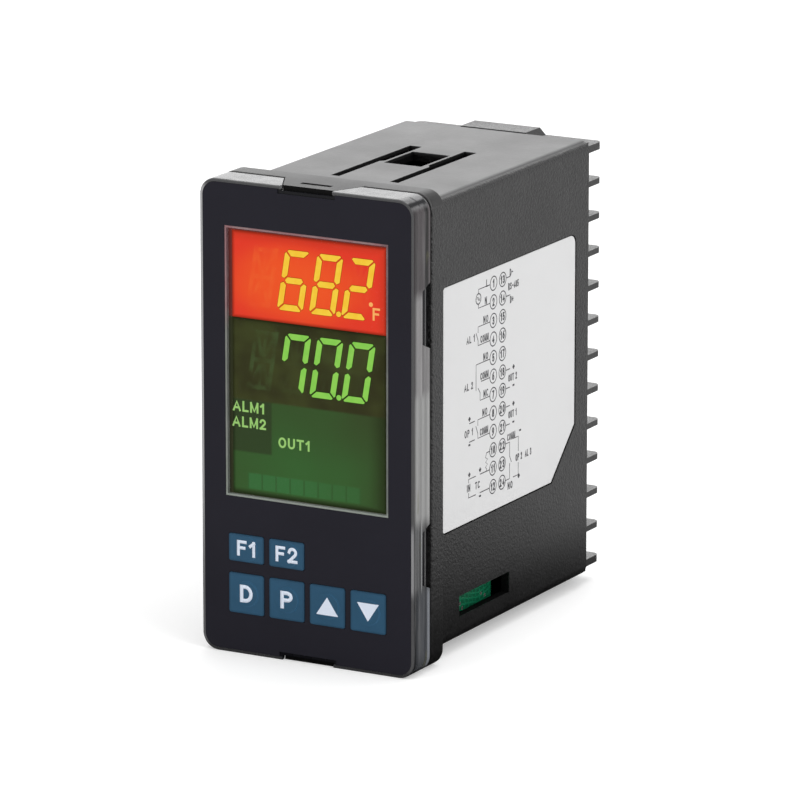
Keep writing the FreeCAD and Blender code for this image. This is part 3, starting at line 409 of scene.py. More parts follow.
@dataclass(frozen=True)
class HousingPlastic(TexturedPlastic):
    """Textured plastic with painted shade: dull near-black walls on the inside and in every cut, and darker
    on the front's top and low on the sides.
    """

    shell: Area = Area(-22.0, 22.0, -45.6, 45.6)
    skin: float = 0.12
    ends: tuple[float, float] = (1.0, 64.5)
    tongue_tip: float = -11.1
    slit: tuple[float, float] = (-8.6, -7.2)
    slit_half: float = 3.4
    dull_front: float = 0.3
    dull_foot: float = 0.42
    darkest: float = 0.9

    def draw(self, graph: Graph) -> None:
        """Textured skin, with painted shade: dull black walls in the cuts, dark tongue tips, a darker front
        top and a darker foot.

        Args:
            graph: The material's nodes.
        """
        super().draw(graph)
        # Painted shade: a near-black dull diffuse, mixed in by the inside mask.
        dull = graph.node("ShaderNodeBsdfDiffuse", {}, {"Color": self.shade(0.4)})
        skin = Term(graph, graph.shader.outputs[0])
        share = self.inside(graph) * self.darkest
        graph.finish(graph.node("ShaderNodeMixShader", {}, {0: share, 1: skin, 2: dull}))

    def textured(self, graph: Graph) -> Term:
        """Full grain high on the sides, a fainter one low down, and a trace of it on top and below.

        Args:
            graph: The material's nodes.

        Returns:
            The share of the grain.
        """
        level = (abs(graph.axis("Z")) - self.shell.high).ramp(-0.7, -0.2)
        return (graph.axis("Z").ramp(-42.0, 5.0) * 0.8 + 0.2) * (1.0 - level * 0.94)

    def inside(self, graph: Graph) -> Term:
        """Mask of the painted shade: under the outer skin, the tongues' tips and slits, the front's top and
        low on the sides.

        Args:
            graph: The material's nodes.

        Returns:
            The mask.
        """
        across, along, up = (abs(graph.axis("X")), graph.axis("Y"), abs(graph.axis("Z")))
        corner = across + up - (self.shell.right + self.shell.high)
        # Painted shade: the walls under the outer skin, the tongues' tips, the slits, the front's top and low
        # on the sides.
        under = self.shell.beyond(graph).ramp(-self.skin, -self.skin * 2.5) * corner.ramp(-1.2, -1.6)
        tips = along.ramp(self.tongue_tip + 0.05, self.tongue_tip - 0.05)
        slits = across.ramp(self.slit_half + 0.1, self.slit_half - 0.05) * along.within(*self.slit, 0.12)
        front = along.ramp(12.0, -11.0) * self.dull_front * (up - self.shell.high).ramp(0.0, 1.5)
        foot = graph.axis("Z").ramp(-31.0, -44.0) * self.dull_foot
        marks = (slits * up.ramp(45.0, 46.0)).most(front).most(foot)
        return (under * along.within(*self.ends, 0.4)).most(tips).most(marks)


@dataclass(frozen=True)
class Zone:
    """A stretch of the clear frame's wall: where it starts, its hue and its painted lines of light and shade
    from front to back.
    """

    start: float
    hue: Colour
    lines: tuple[tuple[float, float], ...]

    def stops(self) -> list[tuple[float, Colour]]:
        """Positions and colours of a colour ramp across the wall."""
        return [(place, tuple(level * share for share in self.hue)) for place, level in self.lines]


@dataclass(frozen=True)
class ClearFrame(Finish):
    """Clear moulding drawn with painted light along its wall: pale edges and drawn-out lines of painted light
    and shade.
    """

    front: float = -12.1
    depth: float = 6.5
    outline: Area = Area(-24.0, 24.0, -48.0, 48.0)
    grip: tuple[float, float] = (17.6, 30.8)
    notch_half: float = 7.9
    notch: tuple[float, float] = (46.0, 47.1)
    zone_blend: float = 1.6
    streak_share: float = 0.18

    # Painted light and shade: these lines stand for light carried in the clear plastic.
    #: From the bottom of the wall to its top.
    ZONES = (
        Zone(-50.0, (0.93, 0.98, 1.08), (
            (0.0, 0.03), (0.05, 0.012), (0.11, 0.018), (0.17, 0.04), (0.27, 0.052), (0.42, 0.062),
            (0.6, 0.066), (0.73, 0.05), (0.8, 0.075), (0.86, 0.2), (0.93, 0.19), (0.98, 0.1), (1.0, 0.01))),
        Zone(-30.5, (0.99, 1.0, 1.02), (
            (0.0, 0.09), (0.04, 0.032), (0.1, 0.1), (0.17, 0.095), (0.24, 0.08), (0.29, 0.12), (0.35, 0.04),
            (0.42, 0.055), (0.47, 0.26), (0.53, 0.05), (0.75, 0.03), (0.95, 0.03), (1.0, 0.03))),
        Zone(-17.0, (1.0, 1.0, 0.99), (
            (0.0, 0.06), (0.05, 0.1), (0.11, 0.2), (0.18, 0.27), (0.29, 0.24), (0.42, 0.2), (0.54, 0.27),
            (0.67, 0.22), (0.74, 0.19), (0.8, 0.24), (0.92, 0.31), (0.97, 0.12), (1.0, 0.02))),
        Zone(9.0, (1.02, 0.99, 1.0), (
            (0.0, 0.08), (0.05, 0.06), (0.11, 0.1), (0.18, 0.19), (0.29, 0.2), (0.38, 0.2), (0.47, 0.26),
            (0.53, 0.12), (0.67, 0.16), (0.8, 0.15), (0.92, 0.2), (0.97, 0.09), (1.0, 0.02))),
        Zone(29.0, (1.08, 0.95, 1.0), (
            (0.0, 0.05), (0.04, 0.025), (0.11, 0.035), (0.18, 0.04), (0.29, 0.055), (0.42, 0.052),
            (0.62, 0.06), (0.7, 0.012), (0.8, 0.002), (0.87, 0.02), (0.92, 0.075), (0.98, 0.07),
            (1.0, 0.01))),
    )

    def wall(self, graph: Graph) -> Term:
        """Painted lines of light and shade along the wall in each zone, blended from one zone to the next.

        Args:
            graph: The material's nodes.

        Returns:
            The colour.
        """
        wobble = (graph.noise(14.0, 2.0, (1, 1, 0.35)) - 0.5) * 0.25
        across = (graph.axis("Y") - self.front + wobble) / self.depth
        up = graph.axis("Z") + (graph.noise(7.0, 2.0, seed=7.0) - 0.5) * 3.0
        tone = None
        for zone in self.ZONES:
            lines = graph.node("ShaderNodeValToRGB", {"stops": zone.stops()}, {0: across})
            start = up.ramp(zone.start - self.zone_blend, zone.start + self.zone_blend)
            tone = lines if tone is None else graph.mix(start, tone, lines)
        return tone

    def lip(self, graph: Graph) -> Term:
        """Front lip round the film, in painted light and shade: pale at the left, dim at the right, dark
        above and below, with a paler edge painted in the notches.

        Args:
            graph: The material's nodes.

        Returns:
            The colour.
        """
        across, up = graph.axis("X"), graph.axis("Z")
        # Painted light and shade: the lip paler at the left and along the grips, dimmer at the right.
        grips = up.within(-self.grip[1], -self.grip[0], 3.0)
        right = graph.mix(grips, (0.08, 0.08, 0.082), (0.24, 0.24, 0.245))
        left = graph.mix(up.ramp(-38.0, -8.0), (0.12, 0.12, 0.125), (0.34, 0.34, 0.345))
        tone = graph.mix(across.ramp(1.0, -1.0), right, left)
        # Painted shade above the film.
        tone = graph.mix(up.ramp(45.6, 47.2), tone, (0.07, 0.07, 0.072))
        notch = abs(across).ramp(self.notch_half + 0.3, self.notch_half - 0.3) * up.within(*self.notch, 0.1)
        # Painted light: a paler edge along the notch floor.
        wear_and_painted_light = graph.mix(up.ramp(46.6, 46.95), (0.13, 0.12, 0.118), (0.3, 0.29, 0.285))
        tone = graph.mix(notch * graph.noise(1.6, 1.0, seed=3.0).ramp(0.3, 0.6), tone, wear_and_painted_light)
        # Painted shade below the film.
        return graph.mix(up.ramp(-45.6, -47.2), tone, (0.04, 0.04, 0.042))

    def top(self, graph: Graph) -> Term:
        """Painted light on the top: cloudy and pale, with dark blots of painted shade at its two corners.

        Args:
            graph: The material's nodes.

        Returns:
            The colour.
        """
        pale = self.mottle(graph.noise(3.0, 2.0, seed=4.0).ramp(0.35, 0.65), 0.85, 1.25)
        near_corner = (abs(graph.axis("X")) - 20.5).ramp(0.0, 1.0)
        shade_blots = graph.noise(1.8, 1.0, seed=21.0).ramp(0.56, 0.66) * near_corner
        return graph.mix(shade_blots * 0.7, pale, (0.02, 0.02, 0.022))

    def draw(self, graph: Graph) -> None:
        """Wall, lip and pale top in painted light and shade, with painted shade in the dark recesses of the
        grips and a pale painted line by the rear edge.

        Args:
            graph: The material's nodes.
        """
        back, up, side = graph.axis("Y") - self.front, graph.axis("Z"), self.outline.beyond(graph)
        # Painted streaks of light and shade along the clear wall.
        streaks = graph.noise(1.4, 3.0, (1, 1, 0.06), seed=7.0)
        tone = graph.mix(streaks.ramp(0.5, 0.75) * self.streak_share, self.wall(graph), (0.3, 0.3, 0.3))
        tone = graph.mix(streaks.ramp(0.45, 0.3) * self.streak_share, tone, (0.03, 0.03, 0.03))
        patch = graph.noise(4.0, 2.0, (1, 1, 0.4), seed=15.0).ramp(0.64, 0.72)
        tone = graph.mix(patch * 0.3, tone, (0.1, 0.1, 0.04))
        # Painted light: the top paler than the wall.
        level = (abs(up) - self.outline.high).ramp(-2.6, -1.0) * up.ramp(0.0, 1.0)
        tone = graph.mix(level, tone, self.top(graph))
        tone = graph.mix(back.ramp(0.12, 0.02), tone, self.lip(graph))
        # Painted shade in the recesses behind the front, and a pale painted line near the rear edge.
        behind = side.ramp(-0.5, -0.9) * back.ramp(0.02, 0.12)
        rear = back.ramp(self.depth - 0.5, self.depth - 0.3) * side.ramp(-1.4, -1.2)
        dark = graph.mix(rear, (0.006, 0.006, 0.008), (0.12, 0.12, 0.12))
        graph.set(Base_Color=graph.mix(behind, tone, dark), Roughness=self.roughness + streaks * 0.15)
        graph.relief(graph.noise(6.0, 1.0, (1, 1, 0.3)), 0.02)


@dataclass(frozen=True)
class PrintedFilm(Finish):
    """Polyester film, printed on its back: an even dark field under a satin face."""

    spread: tuple[float, float] = (0.9, 1.1)
    cloud: Grain = Grain(18.0, 2.0)
    gloss: Grain = Grain(0.3, 1.0, amount=0.1)
    bump: Grain = Grain(0.22, 1.0, 1.0, 0.003)


@dataclass(frozen=True)
class KeyFilm(PrintedFilm):
    """Blue printed key with a slightly darker edge and a painted highlight on the right of its raised dome.
    """

    area: Area = Area(-3.95, 3.95, -4.1, 4.1)
    dome: tuple[float, float] = (2.45, 2.75)

    def draw(self, graph: Graph) -> None:
        """Blue field, dark rim and a painted highlight on the dome ring.

        Args:
            graph: The material's nodes.
        """
        super().draw(graph)
        across, up = self.area.offsets(graph)
        reach = graph.node("ShaderNodeMath", {"operation": "POWER"}, {0: across * across + up * up, 1: 0.5})
        right = (across / (self.area.size[0] / 2)).ramp(-0.6, 1.2)
        tone = self.mottle(graph.noise(5.0, 2.0), 0.9, 1.12)
        tone = graph.mix(self.area.beyond(graph).ramp(-0.5, -0.05) * 0.45, tone, self.shade(0.45))
        # Painted highlight: the dome ring paler on its right side.
        tone = graph.mix(reach.within(*self.dome, 0.2) * right * 0.5, tone, self.shade(2.0))
        graph.set(Base_Color=tone)


@dataclass(frozen=True)
class SmokedWindow(Finish):
    """Clear lens with a pale moulded edge line, drawn in painted light and shade."""

    area: Area = Area(-18.45, 18.2, -15.8, 38.8)
    line: float = 0.42
    haze: float = 0.03

    def draw(self, graph: Graph) -> None:
        """Edge line in painted light and shade, opaque; the rest nearly clear.

        Args:
            graph: The material's nodes.
        """
        across, up = graph.axis("X"), graph.axis("Z")
        line = self.area.beyond(graph).ramp(-self.line - 0.06, -self.line + 0.06)
        # Painted light on the edge line: rose beside the red field and green beside the green one, painted
        # shade at the right, paler at the bottom.
        rose = graph.mix(up.ramp(24.0, 17.0), (0.27, 0.14, 0.15), (0.19, 0.2, 0.18))
        tone = graph.mix(up.ramp(14.0, -15.0) * 0.6, rose, (0.22, 0.25, 0.22))
        tone = graph.mix(across.ramp(16.0, 17.6) * 0.45, tone, (0.06, 0.062, 0.066))
        tone = graph.mix(up.ramp(self.area.low + 1.2, self.area.low + 0.2), tone, (0.25, 0.28, 0.25))
        pale = graph.noise(4.0, 2.0, seed=3.0).ramp(0.35, 0.75)
        tone = graph.mix(pale * 0.35, tone, (0.3, 0.3, 0.29))
        graph.set(Base_Color=graph.mix(line, self.colour, tone), Alpha=line.most(self.haze))
        graph.set(Roughness=self.roughness + line * 0.25)
        graph.relief(graph.noise(12.0, 1.0), 0.004)


@dataclass(frozen=True)
class Lit(Finish):
    """Surface that is seen by its own light alone."""

    specular: float = 0.0

    def glow(self, graph: Graph, tone: Term) -> None:
        """Lights the surface.

        Args:
            graph: The material's nodes.
            tone: The light's colour.
        """
        graph.set(Base_Color=(0.0, 0.0, 0.0), Roughness=self.roughness)
        graph.set(Emission_Color=tone, Emission_Strength=1.0)


@dataclass(frozen=True)
class LitGlow(Lit):
    """Lit segments: an even glow with a faint deeper cloud."""

    deep: Colour = (0.8, 0.4, 0.02)

    def draw(self, graph: Graph) -> None:
        """Glow with a faint cloud."""
        self.glow(graph, graph.mix(graph.noise(2.2, 2.0).ramp(0.35, 0.75) * 0.5, self.colour, self.deep))


@dataclass(frozen=True)
class LitField(Lit):
    """Back-lit colour field with the faint outlines of its unlit characters."""

    area: Area = Area(-17.3, 17.35, 20.4, 37.9)
    edge: Colour = (0.7, 0.03, 0.02)
    ghost: Colour = (0.9, 0.15, 0.03)
    ghost_depth: float = 0.6
    digit_z: float = 29.0
    digit_x: float = 3.9
    spacing: float = 7.2
    lean: float = 0.165
    half_bar: float = 0.55
    bar_x: float = 2.28
    bar_z: float = 2.75
    slant: float = 2.6

    def unlit(self, graph: Graph) -> Term:
        """Mask of the fourteen-bar outlines of every character place.

        Args:
            graph: The material's nodes.

        Returns:
            The mask.
        """
        up = graph.axis("Z") - self.digit_z
        across = graph.axis("X") - up * self.lean
        column = (across - self.digit_x) / self.spacing + 2.5
        in_row = column.within(0.05, 3.95, 0.1) * abs(up).ramp(6.2, 6.0)
        wide, tall, half = abs((column.part() - 0.5) * self.spacing), abs(up), self.half_bar
        sides = abs(wide - self.bar_x).ramp(half, half - 0.2)
        levels = abs(abs(tall - self.bar_z) - self.bar_z).ramp(half, half - 0.2) * wide.ramp(2.7, 2.5)
        post = wide.ramp(half * 0.8, half * 0.4) * tall.ramp(0.2, 0.6)
        slants = abs(tall - wide * self.slant).ramp(1.3, 0.8) * tall.within(0.8, 5.0, 0.3)
        bars = sides.most(levels).most(post).most(slants)
        first_column = column.ramp(1.05, 0.95) * 0.75 + 0.25
        return bars * in_row * wide.ramp(2.95, 2.75) * first_column

    def field(self, graph: Graph) -> Term:
        """Field colour before the unlit outlines: brightest a little left of the middle and below it.

        Args:
            graph: The material's nodes.

        Returns:
            The colour.
        """
        across, up = self.area.offsets(graph)
        across, up = (across + 3.0) / self.area.size[0], (up + 1.0) / self.area.size[1]
        away = across * across + up * up + (graph.noise(11.0, 2.0) - 0.5) * 0.12
        return graph.mix(away.ramp(0.0, 0.3), self.colour, self.edge)

    def draw(self, graph: Graph) -> None:
        """Field, unlit outlines and dark soft edges.

        Args:
            graph: The material's nodes.
        """
        patchy = graph.noise(3.0, 2.0, seed=9.0).ramp(0.3, 0.7)
        tone = graph.mix(self.unlit(graph) * patchy * self.ghost_depth, self.field(graph), self.ghost)
        far_side = (graph.axis("X") - self.area.right).most(graph.axis("Z") - self.area.high)
        tone = graph.mix(far_side.ramp(-2.6, 0.5) * 0.35, tone, self.shade(0.25))
        self.glow(graph, graph.mix(self.area.beyond(graph).ramp(-0.8, 0.2) * 0.75, tone, self.shade(0.1)))


@dataclass(frozen=True)
class LowerField(LitField):
    """Green field: dim behind the characters, brighter over the lower bars."""

    bright: Colour = (0.043, 0.122, 0.034)
    split: float = 3.9
    box_corner: tuple[float, float] = (-8.5, -6.7)
    bars: Area = Area(-13.9, 11.5, -14.1, -10.9)
    bar_pitch: float = 3.17

    def field(self, graph: Graph) -> Term:
        """Dim upper part, dark alarm box, bright lower part with a row of bars.

        Args:
            graph: The material's nodes.

        Returns:
            The colour.
        """
        across, up, (box_x, box_z) = graph.axis("X"), graph.axis("Z"), self.box_corner
        olive = graph.mix(graph.noise(9.0, 2.0).ramp(0.35, 0.7), self.colour, self.edge)
        below = up.ramp(self.split + 0.3, self.split - 0.3)
        box = across.ramp(box_x + 0.3, box_x - 0.3) * up.ramp(box_z - 0.3, box_z + 0.3)
        cloud = graph.noise(14.0, 1.0, seed=6.0).ramp(0.25, 0.75) * 0.3
        shade = up.ramp(-9.0, 3.0) * 0.6 + abs(across + 2.0).ramp(4.0, 19.0) * 0.35
        glow = graph.mix(cloud + shade, self.bright, (0.043, 0.072, 0.025))
        row = up.within(self.bars.low, self.bars.high, 0.4)
        row = row * across.within(self.bars.left, self.bars.right, 0.5)
        gaps = abs(((across - self.bars.left) / self.bar_pitch).part() - 0.5).ramp(0.42, 0.48)
        glow = graph.mix(row * (across.ramp(6.0, -5.0) * 0.3 + 0.4), glow, (0.045, 0.165, 0.052))
        glow = graph.mix(row * gaps * 0.6, glow, (0.035, 0.075, 0.024))
        side = across.ramp(12.5, 17.0).most(up.ramp(-13.9, -14.9))
        glow = graph.mix(side * 0.75, glow, (0.027, 0.038, 0.015))
        return graph.mix(below, olive, graph.mix(box * 0.8, glow, (0.034, 0.05, 0.022)))


@dataclass(frozen=True)
class PanelEdge(Lit):
    """Dark glass round the lit fields, which glows a little in the nearest field's colour."""

    split: float = 20.4
    left: float = -17.3
    warm: Colour = (0.16, 0.035, 0.03)
    cool: Colour = (0.038, 0.042, 0.02)

    def draw(self, graph: Graph) -> None:
        """Red glow above the split and green below it, fading away from the field.

        Args:
            graph: The material's nodes.
        """
        tone = graph.mix(graph.axis("Z").ramp(self.split - 0.2, self.split + 0.2), self.cool, self.warm)
        shade = (graph.axis("X") - self.left).ramp(0.0, -1.0) * 0.45 + graph.noise(5.0, 2.0) * 0.2
        self.glow(graph, graph.mix(shade, tone, self.colour))


@dataclass(frozen=True)
class LabelStock(Finish):
    """Polyester label stock: off-white, faintly fibrous, with soft satin gloss."""

    spread: tuple[float, float] = (0.96, 1.02)
    cloud: Grain = Grain(15.0, 3.0)
    gloss: Grain = Grain(0.6, 2.0, amount=0.1)
    bump: Grain = Grain(0.4, 2.0, amount=0.004)


@dataclass(frozen=True)
class Ink(Finish):
    """Printing ink, slightly broken at its edges."""

    def draw(self, graph: Graph) -> None:
        """Ink with uneven density.

        Args:
            graph: The material's nodes.
        """
        broken = graph.noise(0.35, 2.0).ramp(0.55, 0.85)
        graph.set(Base_Color=self.mottle(broken * 0.35, 1.0, 1.6), Roughness=self.roughness + broken * 0.1)


@dataclass(frozen=True)
class CircuitBoard(Finish):
    """Solder mask over copper tracks, with tinned pads."""

    tin: Colour = (0.55, 0.54, 0.5)
    track_pitch: tuple[float, float] = (1.6, 2.3)
    pad_spacing: float = 2.4

    def draw(self, graph: Graph) -> None:
        """Tracks, pads and mask.

        Args:
            graph: The material's nodes.
        """
        wide, fine = graph.axis("Z"), graph.axis("Y") + graph.axis("X")
        wide = ((wide + graph.noise(12.0, 0.0) * 9.0) / self.track_pitch[0]).part()
        fine = ((fine + graph.noise(16.0, 0.0, seed=2.0) * 7.0) / self.track_pitch[1]).part()
        tracks = wide.within(0.25, 0.6, 0.08).most(fine.within(0.3, 0.5, 0.08))
        pads = graph.cells(self.pad_spacing).ramp(0.2, 0.15)
        graph.set(Base_Color=graph.mix(pads, self.mottle(tracks, 1.0, 1.7), self.tin))
        graph.set(Roughness=self.roughness - pads * 0.1, Metallic=pads * 0.8)
        graph.relief(tracks * 0.6 + pads * 0.4, 0.03)


@dataclass(frozen=True)
class NickelPlate(Finish):
    """Plated steel with drawing marks and light tarnish."""

    tarnish: Colour = (0.4, 0.36, 0.28)

    def draw(self, graph: Graph) -> None:
        """Fine lines and tarnish.

        Args:
            graph: The material's nodes.
        """
        lines = graph.noise(0.5, 3.0, (1, 1, 0.12))
        dull = graph.noise(3.5, 3.0, seed=4.0).ramp(0.45, 0.75)
        graph.set(Base_Color=graph.mix(dull * 0.35, self.mottle(lines, 0.85, 1.1), self.tarnish))
        graph.set(Roughness=self.roughness + lines * 0.15 + dull * 0.1)
        graph.relief(lines, 0.006)


@dataclass(frozen=True)
class WoundTape(Finish):
    """Polyester tape wound in overlapping turns over wire."""

    pitch: float = 2.2

    def draw(self, graph: Graph) -> None:
        """Turns of tape with dark seams.

        Args:
            graph: The material's nodes.
        """
        turn = ((graph.axis("X") + graph.noise(6.0) * 0.3) / self.pitch).part()
        seam = turn.ramp(0.88, 1.0).most(turn.ramp(0.06, 0.0))
        base = self.mottle(graph.noise(2.0, 2.0), 0.85, 1.1)
        graph.set(Base_Color=graph.mix(seam, base, self.shade(0.4)), Roughness=self.roughness + seam * 0.3)
        graph.relief(turn, 0.08)


@dataclass(frozen=True)
class SleevedCan(Finish):
    """Shrink sleeve on an aluminium can, with a pale polarity stripe."""

    centre_y: float = 14.0
    span: float = 2.0
    stripe: Colour = (0.55, 0.57, 0.6)

    def draw(self, graph: Graph) -> None:
        """Sleeve, stripe and wrinkles.

        Args:
            graph: The material's nodes.
        """
        stripe = (graph.axis("Y") - self.centre_y).within(1.0, 1.0 + self.span, 0.15)
        wrinkle = graph.noise(1.6, 2.0, (0.2, 1, 1))
        graph.set(Base_Color=graph.mix(stripe, self.mottle(wrinkle, 0.85, 1.2), self.stripe))
        graph.set(Roughness=self.roughness + wrinkle * 0.1)
        graph.relief(wrinkle, 0.05)


# ----------------------------------------------------------------------------------------
# Modelling
# ----------------------------------------------------------------------------------------

class Facing(Enum):
    """Which way flat work faces: the turn that takes it there from lying face up."""

    FRONT = (math.radians(90), 0.0, 0.0)
    RIGHT = (math.radians(90), 0.0, math.radians(90))
    BACK = (math.radians(90), 0.0, math.radians(180))


@dataclass(frozen=True)
class Run:
    """A stroke's centre line, across and up in millimetres."""

    points: tuple[tuple[float, float], ...]
    closed: bool = False

    def moved(self, across: float, up: float, wide: float = 1.0, tall: float = 1.0) -> "Run":
        """The run scaled, then shifted.

        Args:
            across: Shift across.
            up: Shift up.
            wide: Factor across.
            tall: Factor up.

        Returns:
            The new run.
        """
        return Run(tuple((x * wide + across, y * tall + up) for x, y in self.points), self.closed)


def line(*points: tuple[float, float]) -> Run:
    """Open run through the given points."""
    return Run(points)


def bow(centre: tuple[float, float], radii: tuple[float, float], start: float, end: float,
        steps: int = 9) -> tuple[tuple[float, float], ...]:
    """Points along part of an ellipse.

    Args:
        centre: Its centre.
        radii: Its radii across and up.
        start: First angle in degrees, counted from the right towards the top.
        end: Last angle.
        steps: Number of stretches.

    Returns:
        The points.
    """
    angles = [math.radians(start + (end - start) * step / steps) for step in range(steps + 1)]
    return tuple((centre[0] + radii[0] * math.cos(angle), centre[1] + radii[1] * math.sin(angle))
                 for angle in angles)


def loop(centre: tuple[float, float], radii: tuple[float, float], steps: int = 18) -> Run:
    """Closed ellipse."""
    return Run(bow(centre, radii, 0.0, 360.0, steps)[:-1], True)


#: Upright and upper bowl that several letters share.
STEM = line((0, 0), (0, 1))
BOWL = Run(((0, 1),) + bow((0.36, 0.74), (0.28, 0.26), 90, -90) + ((0, 0.48),))


@dataclass(frozen=True)
class Lettering:
    """Upright sans letters of one height and weight, drawn as strokes."""

    height: float
    weight: float
    width: float = 1.0
    gap: float = 0.3

    #: Each letter's width and centre lines, on a cell one unit high.
    LETTERS = {
        "A": (0.8, [line((0, 0), (0.4, 1), (0.8, 0)), line((0.14, 0.3), (0.66, 0.3))]),
        "C": (0.68, [Run(bow((0.38, 0.5), (0.38, 0.5), 48, 312, 12))]),
        "D": (0.68, [STEM, Run(((0, 1),) + bow((0.28, 0.5), (0.4, 0.5), 90, -90) + ((0, 0),))]),
        "F": (0.58, [STEM, line((0, 1), (0.58, 1)), line((0, 0.52), (0.48, 0.52))]),
        "I": (0.0, [STEM]),
        "L": (0.55, [STEM, line((0, 0), (0.55, 0))]),
        "M": (0.84, [STEM, line((0, 1), (0.42, 0.05), (0.84, 1)), line((0.84, 1), (0.84, 0))]),
        "N": (0.68, [STEM, line((0, 1), (0.68, 0)), line((0.68, 0), (0.68, 1))]),
        "O": (0.78, [loop((0.39, 0.5), (0.39, 0.5))]),
        "P": (0.64, [STEM, BOWL]),
        "R": (0.66, [STEM, line((0.36, 0.48), (0.66, 0)), BOWL]),
        "S": (0.62, [Run(bow((0.31, 0.75), (0.28, 0.25), 30, 262)
                         + bow((0.31, 0.26), (0.3, 0.26), 82, -150))]),
        "T": (0.7, [line((0, 1), (0.7, 1)), line((0.35, 0), (0.35, 1))]),
        "U": (0.68, [Run(((0, 1),) + bow((0.34, 0.34), (0.34, 0.34), 180, 360) + ((0.68, 1),))]),
        "0": (0.58, [loop((0.29, 0.5), (0.29, 0.5))]),
        "1": (0.28, [line((0, 0.74), (0.28, 0.98)), line((0.28, 0), (0.28, 1))]),
        "2": (0.58, [Run(bow((0.29, 0.71), (0.28, 0.29), 172, -38) + ((0, 0),)), line((0, 0), (0.58, 0))]),
        "3": (0.58, [Run(bow((0.27, 0.75), (0.26, 0.25), 155, -90)),
                     Run(bow((0.28, 0.25), (0.29, 0.26), 90, -155))]),
        "4": (0.6, [line((0.45, 0), (0.45, 1), (0, 0.28)), line((0, 0.28), (0.6, 0.28))]),
        "5": (0.58, [line((0.52, 1), (0.1, 1)), line((0.1, 1), (0.05, 0.5)),
                     Run(bow((0.27, 0.31), (0.31, 0.31), 135, -145))]),
        "6": (0.58, [loop((0.29, 0.3), (0.28, 0.3)), line((0.01, 0.35), (0.12, 0.78), (0.5, 1.0))]),
        "7": (0.56, [line((0, 1), (0.56, 1)), line((0.56, 1), (0.2, 0))]),
        "8": (0.58, [loop((0.29, 0.76), (0.24, 0.24)), loop((0.29, 0.27), (0.29, 0.27))]),
        "9": (0.58, [loop((0.29, 0.7), (0.28, 0.3)), line((0.57, 0.65), (0.46, 0.22), (0.08, 0.0))]),
        "+": (0.6, [line((0, 0.5), (0.6, 0.5)), line((0.3, 0.2), (0.3, 0.8))]),
        "-": (0.5, [line((0, 0.5), (0.5, 0.5))]),
        " ": (0.2, []),
    }

    def runs(self, words: str, centre: tuple[float, float]) -> list[Run]:
        """Centre lines of words, centred on a point.

        Args:
            words: The letters.
            centre: Middle of the words, across and up.

        Returns:
            The runs.
        """
        tall = self.height - self.weight
        wide = tall * self.width
        step = self.weight + self.gap * self.height * self.width
        ends = [self.LETTERS[letter][0] * wide for letter in words]
        across = centre[0] - (sum(ends) + step * (len(words) - 1)) / 2
        made = []
        for letter, end in zip(words, ends):
            for run in self.LETTERS[letter][1]:
                made.append(run.moved(across, centre[1] - tall / 2, wide, tall))
            across += end + step
        return made


